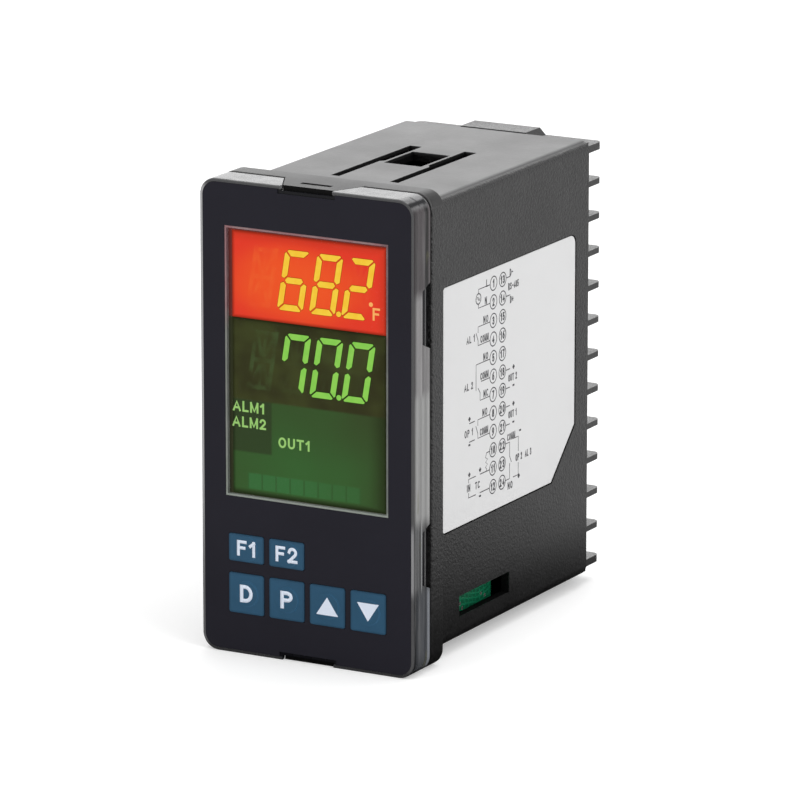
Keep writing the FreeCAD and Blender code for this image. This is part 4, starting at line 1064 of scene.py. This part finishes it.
class Bench:
    """Modelling moves, each on a fresh selection. Sizes are in millimetres."""

    @staticmethod
    def pick(piece: bpy.types.Object) -> None:
        """Selects one piece alone.

        Args:
            piece: The piece.
        """
        bpy.ops.object.select_all(action="DESELECT")
        piece.select_set(True)
        bpy.context.view_layer.objects.active = piece

    @staticmethod
    def settle(piece: bpy.types.Object) -> bpy.types.Object:
        """Applies a piece's place, turn and scale to its mesh.

        Args:
            piece: The piece.

        Returns:
            The piece.
        """
        Bench.pick(piece)
        bpy.ops.object.transform_apply(location=True, rotation=True, scale=True)
        return piece

    @staticmethod
    def splines(runs: Iterable[Run], reach: float, name: str) -> bpy.types.Object:
        """Curve object of straight-sided runs, staggered so that strokes that cross share no face.

        Args:
            runs: The runs.
            reach: How far open ends are drawn out.
            name: The curve's name.

        Returns:
            The curve object.
        """
        data = bpy.data.curves.new(name, "CURVE")
        data.dimensions = "3D"
        data.twist_mode = "Z_UP"
        for index, run in enumerate(runs):
            points = [Vector(point) for point in run.points]
            sunk = index % 3 * STAGGER
            if not run.closed:
                points[0] += (points[0] - points[1]).normalized() * reach
                points[-1] += (points[-1] - points[-2]).normalized() * reach
            spline = data.splines.new("POLY")
            spline.points.add(len(points) - 1)
            spline.use_cyclic_u = run.closed
            for knot, point in zip(spline.points, points):
                knot.co = (point.x * MM, point.y * MM, -sunk * MM, 1)
        curve = bpy.data.objects.new(name, data)
        bpy.context.scene.collection.objects.link(curve)
        return curve

    @staticmethod
    def trace(runs: Iterable[Run], width: float, at: Place, facing: Facing,
              thick: float = 0.01) -> bpy.types.Object:
        """Flat strokes along runs, drawn out at open ends by half their width, with their front at a place.

        Args:
            runs: Centre lines, from the place.
            width: Width of the strokes.
            at: Origin of the runs, on the strokes' front.
            facing: Which way they face.
            thick: Thickness.

        Returns:
            The mesh object.
        """
        half_wide, half_thick = width / 2, thick / 2
        outline = ((-half_wide, -half_thick), (half_wide, -half_thick),
                   (half_wide, half_thick), (-half_wide, half_thick))
        section = Bench.splines([Run(outline, True)], 0.0, "section")
        strokes = Bench.splines(runs, half_wide, "strokes")
        strokes.data.bevel_mode = "OBJECT"
        strokes.data.bevel_object = section
        strokes.data.use_fill_caps = True
        Bench.pick(strokes)
        bpy.ops.object.convert(target="MESH")
        strokes = bpy.context.object
        bpy.data.objects.remove(section)
        bpy.ops.object.mode_set(mode="EDIT")
        bpy.ops.mesh.select_all(action="SELECT")
        bpy.ops.mesh.normals_make_consistent(inside=False)
        bpy.ops.object.mode_set(mode="OBJECT")
        strokes.location = (0, 0, -half_thick * MM)
        Bench.settle(strokes)
        strokes.rotation_euler = Euler(facing.value)
        strokes.location = Vector(at) * MM
        return Bench.settle(strokes)

    @staticmethod
    def arrow(width: float, height: float, at: Place, up: bool, thick: float,
              rounding: float = 0.12) -> bpy.types.Object:
        """Solid triangle on the front, with slightly rounded corners.

        Args:
            width: Width of its base.
            height: Height.
            at: Centre of its front.
            up: Whether it points up.
            thick: Thickness.
            rounding: Length taken off at each corner.

        Returns:
            The mesh object.
        """
        bpy.ops.object.select_all(action="DESELECT")
        bpy.ops.mesh.primitive_circle_add(vertices=3, radius=1.0, fill_type="NGON")
        arrow = bpy.context.object
        tip = max(vertex.co.y for vertex in arrow.data.vertices)
        low = min(vertex.co.y for vertex in arrow.data.vertices)
        wide = max(vertex.co.x for vertex in arrow.data.vertices) * 2
        arrow.scale = (width / wide * MM, height / (tip - low) * MM * (1 if up else -1), 1)
        arrow.location = (0, -(tip + low) / 2 * arrow.scale.y, 0)
        Bench.settle(arrow)
        bpy.ops.object.mode_set(mode="EDIT")
        bpy.ops.mesh.select_all(action="SELECT")
        bpy.ops.mesh.bevel(offset=rounding * MM, segments=2, affect="VERTICES")
        bpy.ops.mesh.select_all(action="SELECT")
        bpy.ops.mesh.extrude_region_move(TRANSFORM_OT_translate={"value": (0, 0, -thick * MM)})
        bpy.ops.mesh.select_all(action="SELECT")
        bpy.ops.mesh.normals_make_consistent(inside=False)
        bpy.ops.object.mode_set(mode="OBJECT")
        arrow.rotation_euler = Euler(Facing.FRONT.value)
        arrow.location = Vector(at) * MM
        return Bench.settle(arrow)

    @staticmethod
    def join(pieces: Iterable[bpy.types.Object], name: str) -> bpy.types.Object:
        """Joins pieces into one named object.

        Args:
            pieces: The pieces.
            name: The new name.

        Returns:
            The joined object.
        """
        parts = list(pieces)
        Bench.pick(parts[0])
        for part in parts:
            part.select_set(True)
        if len(parts) > 1:
            bpy.ops.object.join()
        whole = bpy.context.view_layer.objects.active
        whole.name = whole.data.name = name
        return Bench.settle(whole)


def dress(piece: bpy.types.Object, finish: Finish) -> None:
    """Gives a piece one finish.

    Args:
        piece: The piece.
        finish: The finish.
    """
    piece.data.materials.clear()
    piece.data.materials.append(finish.material())


def add(piece: bpy.types.Object, body: str, finish: Finish) -> None:
    """Dresses a new piece and lets it ride on a body.

    Args:
        piece: The piece.
        body: The body that it moves with.
        finish: The finish.
    """
    dress(piece, finish)
    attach(piece, body)
    LOG.info("%s rides on %s, %d faces", piece.name, body, len(piece.data.polygons))


def corners(node: str) -> tuple[Vector, Vector]:
    """Lowest and highest corner of a node, in millimetres.

    Args:
        node: The node.

    Returns:
        The two corners.
    """
    low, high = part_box(node)
    return low / MM, high / MM


# ----------------------------------------------------------------------------------------
# Sub-assemblies
# ----------------------------------------------------------------------------------------

@dataclass
class Housing:
    """Case, terminal block, seal and label, with what is printed or moulded on them."""

    plastic: Colour = (0.0085, 0.0083, 0.0085)
    ink: Finish = Ink("label_ink", (0.035, 0.035, 0.04), 0.5)
    column_y: tuple[float, float] = (24.4, 28.25)
    first_row: float = 24.25
    row_step: float = 3.785
    ring_radius: float = 1.42
    source_at: tuple[float, float] = (18.1, -1.9)
    source_radius: float = 1.05
    number_style: Lettering = Lettering(1.65, 0.3, 0.7)
    word_style: Lettering = Lettering(1.5, 0.26, 0.7, 0.24)
    narrow_style: Lettering = Lettering(1.45, 0.24, 0.52, 0.2)
    sign_style: Lettering = Lettering(1.25, 0.38, 1.0)
    raised_style: Lettering = Lettering(2.1, 0.34, 0.85)
    raised_x: float = 5.9

    #: What the label says: the text, its place along the side, its height over a row, that row's terminal.
    WORDS = (
        ("L", 21.7, 0.6, 1), ("N", 21.2, 0.95, 2), ("NO", 21.2, 0.95, 3), ("NO", 21.2, 0.95, 5),
        ("NC", 21.3, 1.0, 7), ("NO", 20.9, 1.0, 8), ("NO", 31.7, -1.4, 24), ("AL 1", 14.9, -1.9, 3),
        ("AL 2", 14.1, 0.0, 6), ("OP 1", 14.2, -1.9, 8), ("IN", 14.2, -1.8, 11), ("TC", 17.9, -2.0, 11),
    )
    NARROW = (
        ("COMM", 20.7, 1.0, 4), ("COMM", 20.7, 1.0, 6), ("COMM", 20.6, 1.0, 9), ("COMM", 32.1, 1.1, 22),
        ("RS-485", 32.8, -2.0, 13), ("D-", 31.9, 0.8, 13), ("D+", 32.1, -1.0, 14), ("OUT 2", 32.6, -1.9, 18),
        ("OUT 1", 32.6, -1.9, 20), ("OP 2", 35.4, -0.1, 23), ("AL 3", 39.4, -0.1, 23),
    )
    SIGNS = (
        ("+", 33.0, 0.1, 18), ("-", 33.0, 0.1, 19), ("+", 33.0, 0.1, 20), ("-", 33.0, 0.1, 21),
        ("+", 14.5, 0.9, 8), ("-", 14.5, -0.6, 9), ("+", 14.5, 0.9, 11), ("+", 19.0, 0.9, 11),
        ("-", 19.0, -0.7, 12), ("-", 35.9, 1.5, 22), ("+", 35.4, -0.3, 24),
    )

    def build(self) -> None:
        """Dresses the shells and adds the label's print and the terminal numbers."""
        nodes = frame["nodes"]
        dress(nodes["case"], HousingPlastic("case_plastic", self.plastic, 0.4, 0.75, depth=0.42))
        dress(nodes["terminal_block"],
              TexturedPlastic("terminal_plastic", self.plastic, 0.4, 0.7, grain=0.35))
        dress(nodes["bezel_seal"], Finish("seal_rubber", (0.006, 0.006, 0.007), 0.7, 0.3))
        dress(nodes["side_label"], LabelStock("label_stock", (0.63, 0.63, 0.632), 0.45, 0.3))
        self.print_label()
        self.number_terminals()

    def row(self, number: int) -> float:
        """Height of a terminal's row on the label, in millimetres."""
        return self.first_row - self.row_step * ((number - 1) % 12)

    def written(self, rows: Iterable[tuple[str, float, float, int]], style: Lettering) -> list[Run]:
        """Centre lines of one of the label's tables.

        Args:
            rows: The table.
            style: Its letters.

        Returns:
            The runs.
        """
        runs = []
        for words, along, above, number in rows:
            runs += style.runs(words, (along, self.row(number) + above))
        return runs

    def print_label(self) -> None:
        """Numbered rings in two columns with plain function words and lines."""
        surface = (corners("side_label")[1].x + 0.012, 0.0, 0.0)
        numbers, rings = [], []
        for number in range(1, 25):
            centre = (self.column_y[(number - 1) // 12], self.row(number))
            numbers += self.number_style.runs(str(number), centre)
            rings.append(loop(centre, (self.ring_radius, self.ring_radius), 28))
        along, up = self.source_at[0], self.row(1) + self.source_at[1]
        rings.append(loop((along, up), (self.source_radius, self.source_radius), 20))
        waves = [Run(bow((along - 0.3, up), (0.3, 0.35), 180, 0)),
                 Run(bow((along + 0.3, up), (0.3, 0.35), 180, 360))]
        letters = self.written(self.WORDS, self.word_style) + self.written(self.NARROW, self.narrow_style)
        signs = self.written(self.SIGNS, self.sign_style)
        widths = ((numbers, 0.35), (letters, 0.27), (signs, 0.4), (rings, 0.23), (self.wires() + waves, 0.2))
        marks = [Bench.trace(runs, width, surface, Facing.RIGHT) for runs, width in widths]
        add(Bench.join(marks, "label_print"), "controller", self.ink)

    def wires(self) -> list[Run]:
        """Lines of the label's diagram, through points given along, by terminal and above its row.

        Returns:
            The runs.
        """
        near, far = self.column_y[0] - self.ring_radius, self.column_y[1] + self.ring_radius
        paths = [((18.1, 1, -0.75), (18.1, 1, 0), (near, 1, 0)), ((18.1, 2, 0.8), (18.1, 2, 0), (near, 2, 0))]
        for top, low in ((3, 4), (8, 9)):
            paths.append(((near, top, 0), (18.0, top, 0), (18.0, top, -1.1)))
            paths.append(((near, low, 0), (18.0, low, 0), (18.0, low, 1.0), (17.2, top, -1.2)))
        paths.append(((near, 5, 0), (17.2, 5, 0), (17.2, 6, -1.4)))
        paths.append(((near, 6, 0), (19.4, 6, 0)))
        paths.append(((near, 7, 0), (18.9, 7, 0), (18.9, 7, 1.6), (18.1, 6, -1.2)))
        paths += [((14.5, number, 0), (16.6, number, 0)) for number in (8, 9)]
        coil = [(21.7 + (0.45 if step % 2 else -0.45), 10, -0.9 - 0.5 * step) for step in range(5)]
        paths.append(((near, 10, 0), (21.7, 10, 0), *coil, (21.7, 11, 0.5), (21.7, 11, 0)))
        paths += [((19.0, number, 0), (near, number, 0)) for number in (11, 12)]
        paths += [((17.1, number, 0), (14.2, number, 0), (14.2, number, above))
                  for number, above in ((11, -0.7), (12, 0.9))]
        paths += [((far, number, 0), (far + 1.7, number, 0)) for number in (13, 14, 18, 19, 20, 21)]
        paths.append(((far, 22, 0), (far + 1.8, 22, 0), (far + 1.8, 22, -2.9), (far + 2.5, 23, -0.4)))
        paths.append(((far + 3.4, 22, 0.4), (far + 5.5, 22, 0.4), (far + 5.5, 23, 1.2)))
        paths.append(((far, 24, 0), (far + 1.8, 24, 0), (far + 1.8, 24, 3.1)))
        paths.append(((far + 3.4, 24, 0), (far + 5.5, 24, 0), (far + 5.5, 23, -1.3)))
        return [line(*((along, self.row(number) + above) for along, number, above in path)) for path in paths]

    def number_terminals(self) -> None:
        """Raised terminal numbers down both edges of the centre rib."""
        style, marks = self.raised_style, []
        for column, side in enumerate((-1, 1)):
            for index, height in enumerate(self.bay_heights()):
                marks += style.runs(str(index + 1 + 12 * column), (self.raised_x * side, height))
        rib = corners("terminal_block")[1].y
        numbers = Bench.trace(marks, style.weight, (0, rib + 0.12, 0), Facing.BACK, 0.17)
        # Painted highlight: the raised numbers paler grey than the black plastic they are moulded in.
        add(Bench.join([numbers], "terminal_numbers"), "controller",
            Finish("raised_numbers", (0.16, 0.16, 0.165), 0.5))

    @staticmethod
    def bay_heights() -> list[float]:
        """Centre heights of the rows of terminal bays, from the top, by the record's openings.

        Returns:
            Heights in millimetres.
        """
        openings = frame["record"]["physics"]["openings"]
        bays = [bay["box_m"] for bay in openings if bay["name"].startswith("terminal_bay")]
        return sorted({round((low[2] + high[2]) / 2 / MM, 2) for low, high in bays}, reverse=True)


@dataclass
class Face:
    """Clear frame, film, window and the six keys with their legends."""

    blue: Colour = (0.022, 0.082, 0.15)
    legend: Finish = Ink("key_legend", (0.69, 0.755, 0.87), 0.45, 0.3)
    large: Lettering = Lettering(3.6, 0.78, 1.12)
    small: Lettering = Lettering(3.2, 0.64, 1.05, 0.16)
    arrow_width: float = 4.9
    arrow_height: float = 3.7
    legend_thick: float = 0.13
    legend_proud: float = 0.015

    #: Each key's legend; the last two have an arrow.
    LEGENDS = {"key_f1": "F1", "key_f2": "F2", "key_d": "D", "key_p": "P", "key_up": "", "key_down": ""}

    def build(self) -> None:
        """Dresses the face and its keys."""
        nodes = frame["nodes"]
        dress(nodes["bezel_frame"], ClearFrame("clear_frame", (0.16, 0.16, 0.163), 0.2, 0.2))
        dress(nodes["face_overlay"], PrintedFilm("face_film", (0.0185, 0.0178, 0.0245), 0.4, 0.06))
        dress(nodes["display_window"], SmokedWindow("window_lens", (0.006, 0.006, 0.006), 0.08, 0.1,
                                                    area=Area.of("display_window")))
        for node, words in self.LEGENDS.items():
            self.dress_key(node, words)

    def dress_key(self, node: str, words: str) -> None:
        """Blue film and a white legend on one key.

        Args:
            node: The key.
            words: Its letters, or nothing for an arrow.
        """
        area = Area.of(node)
        dress(frame["nodes"][node], KeyFilm(f"{node}_film", self.blue, 0.42, 0.22, area=area))
        place = (area.centre[0], corners(node)[0].y - self.legend_proud, area.centre[1])
        thick = self.legend_thick
        if words:
            style = self.small if len(words) > 1 else self.large
            mark = Bench.trace(style.runs(words, (0, 0)), style.weight, place, Facing.FRONT, thick)
        else:
            mark = Bench.arrow(self.arrow_width, self.arrow_height, place, node == "key_up", thick)
        body = node.replace("key_", "button_")
        add(Bench.join([mark], f"{node}_legend"), body, self.legend)


@dataclass
class Display:
    """Lit fields, numerals and annunciators behind the window."""

    yellow: Colour = (0.96, 0.65, 0.06)
    green: Colour = (0.28, 0.64, 0.1)
    rim_width: float = 0.11
    rim_thick: float = 0.04
    word_thick: float = 0.05
    word_style: Lettering = Lettering(2.15, 0.4, 1.0, 0.18)
    unit_style: Lettering = Lettering(2.5, 0.42, 1.0)

    #: The small words and the middle of each.
    WORDS = (("ALM1", (-13.75, 2.45)), ("ALM2", (-13.6, -0.7)), ("OUT1", (-3.45, -3.85)))

    def build(self) -> None:
        """Dresses the display's stack and adds its words."""
        upper, lower = Area.of("upper_field"), Area.of("lower_field")
        finishes = {
            "upper_field": LitField("field_red", (0.89, 0.098, 0.024), area=upper, digit_z=29.05,
                                    edge=(0.79, 0.05, 0.026), ghost=(0.88, 0.135, 0.032)),
            "lower_field": LowerField("field_green", (0.052, 0.06, 0.02), area=lower, digit_z=12.3,
                                      edge=(0.036, 0.036, 0.015), ghost=(0.062, 0.1, 0.036)),
            "upper_digits": LitGlow("digit_yellow", self.yellow, deep=(0.93, 0.46, 0.02)),
            "lower_digits": LitGlow("digit_green", self.green, deep=(0.18, 0.56, 0.07)),
            "lcd_panel": PanelEdge("lcd_glass", (0.008, 0.008, 0.008), split=upper.low, left=upper.left),
            "backlight_guide": Finish("guide_milky", (0.75, 0.76, 0.75), 0.35),
            "backlight_leds": Finish("led_white", (0.8, 0.76, 0.5), 0.3),
        }
        for node, finish in finishes.items():
            dress(frame["nodes"][node], finish)
        self.rim_digits("upper_digits", (0.42, 0.045, 0.006))
        self.rim_digits("lower_digits", (0.008, 0.035, 0.004))
        self.write_words()

    def rim_digits(self, node: str, colour: Colour) -> None:
        """Dark rim behind each lit bar, as the mask of the display leaves it.

        Args:
            node: The digits' node.
            colour: The rim's colour.
        """
        lit = frame["nodes"][node]
        rim = bpy.data.objects.new(f"{node}_rim", lit.data.copy())
        bpy.context.scene.collection.objects.link(rim)
        rim.matrix_world = lit.matrix_world.copy()
        Bench.settle(rim)
        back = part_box(node)[1].y
        bpy.ops.object.mode_set(mode="EDIT")
        bpy.ops.mesh.select_all(action="SELECT")
        bpy.ops.mesh.remove_doubles(threshold=0.001 * MM)
        bpy.ops.mesh.normals_make_consistent(inside=False)
        bpy.ops.transform.shrink_fatten(value=self.rim_width * MM, use_even_offset=True)
        bpy.ops.transform.resize(value=(1.0, self.rim_thick, 1.0), center_override=(0.0, back, 0.0))
        bpy.ops.object.mode_set(mode="OBJECT")
        add(Bench.join([rim], f"{node}_rim"), "controller",
            LitGlow(f"{node}_rim", colour, deep=tuple(channel * 0.7 for channel in colour)))

    def write_words(self) -> None:
        """Alarm and output words, and the unit mark."""
        words = [run for text, centre in self.WORDS for run in self.word_style.runs(text, centre)]
        unit = self.unit_style.runs("F", (15.1, 24.45)) + [loop((13.9, 26.3), (0.24, 0.24), 12)]
        self.light(words, self.word_style.weight, "annunciators", "lower_digits",
                   LitGlow("annunciator_green", (0.34, 0.61, 0.18), deep=(0.26, 0.53, 0.14)))
        self.light(unit, self.unit_style.weight, "unit_mark", "upper_digits",
                   LitGlow("unit_yellow", (0.98, 0.48, 0.14), deep=(0.96, 0.4, 0.12)))

    def light(self, runs: list[Run], weight: float, name: str, beside: str,
              finish: Finish) -> None:
        """Adds a lit piece, as far forward as the digits of its row.

        Args:
            runs: Its centre lines.
            weight: Width of its strokes.
            name: Its name.
            beside: The digits' node.
            finish: Its finish.
        """
        front = corners(beside)[0].y
        mark = Bench.trace(runs, weight, (0, front, 0), Facing.FRONT, self.word_thick)
        add(Bench.join([mark], name), "controller", finish)


@dataclass
class Inside:
    """Boards and the parts on them, seen through the slots and with the shells off."""

    board: Colour = (0.006, 0.13, 0.06)

    def build(self) -> None:
        """Dresses every inner node."""
        finishes = {
            "display_carrier": TexturedPlastic("carrier_black", (0.01, 0.01, 0.011), 0.5),
            "display_board": CircuitBoard("display_board_mask", self.board, 0.35),
            "main_board": CircuitBoard("main_board_mask", self.board, 0.35),
            "power_board": CircuitBoard("power_board_mask", self.board, 0.35),
            "tact_switches": Finish("switch_black", (0.02, 0.02, 0.022), 0.4),
            "board_headers": Finish("header_black", (0.012, 0.012, 0.013), 0.5),
            "output_relays": TexturedPlastic("relay_case", (0.02, 0.09, 0.34), 0.35, grain=0.8, depth=0.01),
            "microcontroller": Finish("chip_epoxy", (0.016, 0.016, 0.018), 0.5),
            "optocouplers": Finish("opto_epoxy", (0.02, 0.02, 0.022), 0.45),
            "transformer_core": TexturedPlastic("ferrite", (0.035, 0.034, 0.033), 0.55, grain=0.3),
            "transformer_winding": WoundTape("winding_tape", (0.62, 0.42, 0.03), 0.3),
            "bulk_capacitor": SleevedCan("bulk_sleeve", (0.02, 0.025, 0.05), 0.35, centre_y=14.0),
            "filter_capacitors": SleevedCan("small_sleeve", (0.02, 0.02, 0.024), 0.35,
                                            centre_y=12.6, span=1.0),
            "varistor": Finish("varistor_dip", (0.02, 0.12, 0.36), 0.35),
            "fuse": Finish("fuse_ceramic", (0.5, 0.44, 0.32), 0.45),
            "terminal_plates": NickelPlate("plate_nickel", (0.66, 0.64, 0.6), 0.28, metallic=1.0),
            "terminal_screws": NickelPlate("screw_nickel", (0.7, 0.69, 0.66), 0.24, metallic=1.0),
        }
        for node, finish in finishes.items():
            dress(frame["nodes"][node], finish)
            LOG.info("%s dressed as %s", node, finish.name)


@dataclass
class Studio:
    """Camera, pale floor and soft light."""

    azimuth: float = 28.98
    elevation: float = 14.06
    camera_at: Place = (616.66, -1087.80, 316.25)
    lens: float = 294.08
    floor_z: float = -48.0
    sky: float = 0.62
    lift: float = 0.3
    # Painted sheen: how bright glossy rays see the floor far out, and where it turns from dark to bright.
    mirror: float = 0.72
    mirror_reach: tuple[float, float] = (0.075, 0.15)
    lamps: tuple[tuple[str, Place, float, float], ...] = (
        ("top_lamp", (0.1, 0.35, 1.1), 1.2, 8.0),
        ("right_lamp", (1.3, -0.25, 0.75), 1.1, 10.0),
        ("front_lamp", (-0.7, -1.4, 0.8), 1.2, 6.5),
        ("rear_lamp", (-0.75, 1.35, 0.42), 0.9, 3.7),
    )

    def build(self) -> None:
        """Sets up the camera, the floor, the lamps and the surroundings."""
        self.place_camera()
        self.lay_floor()
        self.hang_lamps()
        self.surround()
        bpy.context.scene.view_settings.view_transform = "Standard"

    def place_camera(self) -> None:
        """Long lens, from the right and above."""
        azimuth, elevation = math.radians(self.azimuth), math.radians(self.elevation)
        level = math.cos(elevation)
        back = Vector((math.sin(azimuth) * level, -math.cos(azimuth) * level, math.sin(elevation)))
        camera = bpy.data.objects.new("camera", bpy.data.cameras.new("camera"))
        bpy.context.scene.collection.objects.link(camera)
        camera.data.sensor_width = 36.0
        camera.data.lens = self.lens
        camera.data.clip_start = 0.05
        camera.data.clip_end = 100.0
        camera.location = Vector(self.camera_at) * MM
        camera.rotation_euler = (-back).to_track_quat("-Z", "Y").to_euler()
        bpy.context.scene.camera = camera

    def lay_floor(self) -> None:
        """Pale floor that keeps the soft shadow and reads as white; glossy rays see it painted dark near the
        object and bright further out.
        """
        bpy.ops.object.select_all(action="DESELECT")
        bpy.ops.mesh.primitive_plane_add(size=40.0, location=(0, 0, self.floor_z * MM))
        floor = bpy.context.object
        floor.name = "floor"
        Bench.settle(floor)
        graph = Graph(bpy.data.materials.new("floor_paper"))
        reach = graph.node("ShaderNodeVectorMath", {"operation": "LENGTH"}, {0: graph.place()}, "Value")
        tone = graph.mix(graph.noise(300.0, 2.0), (0.76, 0.76, 0.76), (0.8, 0.8, 0.8))
        paper = graph.node("ShaderNodeBsdfDiffuse", {}, {"Color": tone})
        lift = graph.node("ShaderNodeEmission", {}, {"Color": (1, 1, 1), "Strength": self.lift})
        seen = graph.node("ShaderNodeAddShader", {}, {0: paper, 1: lift})
        # Painted shade and sheen in reflections: dark near the object, bright further out.
        glow = graph.mix(reach.ramp(*self.mirror_reach), (0.01, 0.01, 0.01), (self.mirror,) * 3)
        mirror = graph.node("ShaderNodeEmission", {}, {"Color": glow, "Strength": 1.0})
        camera_ray = graph.node("ShaderNodeLightPath", {}, {}, "Is Camera Ray")
        glossy_ray = graph.node("ShaderNodeLightPath", {}, {}, "Is Glossy Ray")
        plain = graph.node("ShaderNodeMixShader", {}, {0: camera_ray, 1: paper, 2: seen})
        graph.finish(graph.node("ShaderNodeMixShader", {}, {0: glossy_ray, 1: plain, 2: mirror}))
        floor.data.materials.append(graph.owner)

    def hang_lamps(self) -> None:
        """Large soft lamps above, at the right, in front and low behind."""
        for name, at, size, power in self.lamps:
            data = bpy.data.lights.new(name, "AREA")
            data.shape, data.size, data.energy = "SQUARE", size, power
            lamp = bpy.data.objects.new(name, data)
            lamp.location = at
            lamp.rotation_euler = (-Vector(at)).to_track_quat("-Z", "Y").to_euler()
            bpy.context.scene.collection.objects.link(lamp)

    def surround(self) -> None:
        """Even sky for light, white where it is seen."""
        world = bpy.data.worlds.new("sky")
        bpy.context.scene.world = world
        graph = Graph(world)
        soft = graph.node("ShaderNodeBackground", {}, {"Color": (1, 1, 1), "Strength": self.sky})
        white = graph.node("ShaderNodeBackground", {}, {"Color": (1, 1, 1), "Strength": 1.0})
        camera_ray = graph.node("ShaderNodeLightPath", {}, {}, "Is Camera Ray")
        through = graph.node("ShaderNodeLightPath", {}, {}, "Is Transmission Ray")
        graph.finish(graph.node("ShaderNodeMixShader", {}, {0: camera_ray.most(through), 1: soft, 2: white}))


def main() -> None:
    """Builds the looks in order."""
    logging.basicConfig(level=logging.INFO, format="%(name)s: %(message)s")
    for assembly in (Housing(), Face(), Display(), Inside(), Studio()):
        assembly.build()
        LOG.info("%s built", type(assembly).__name__)


if __name__ == "__main__":
    main()
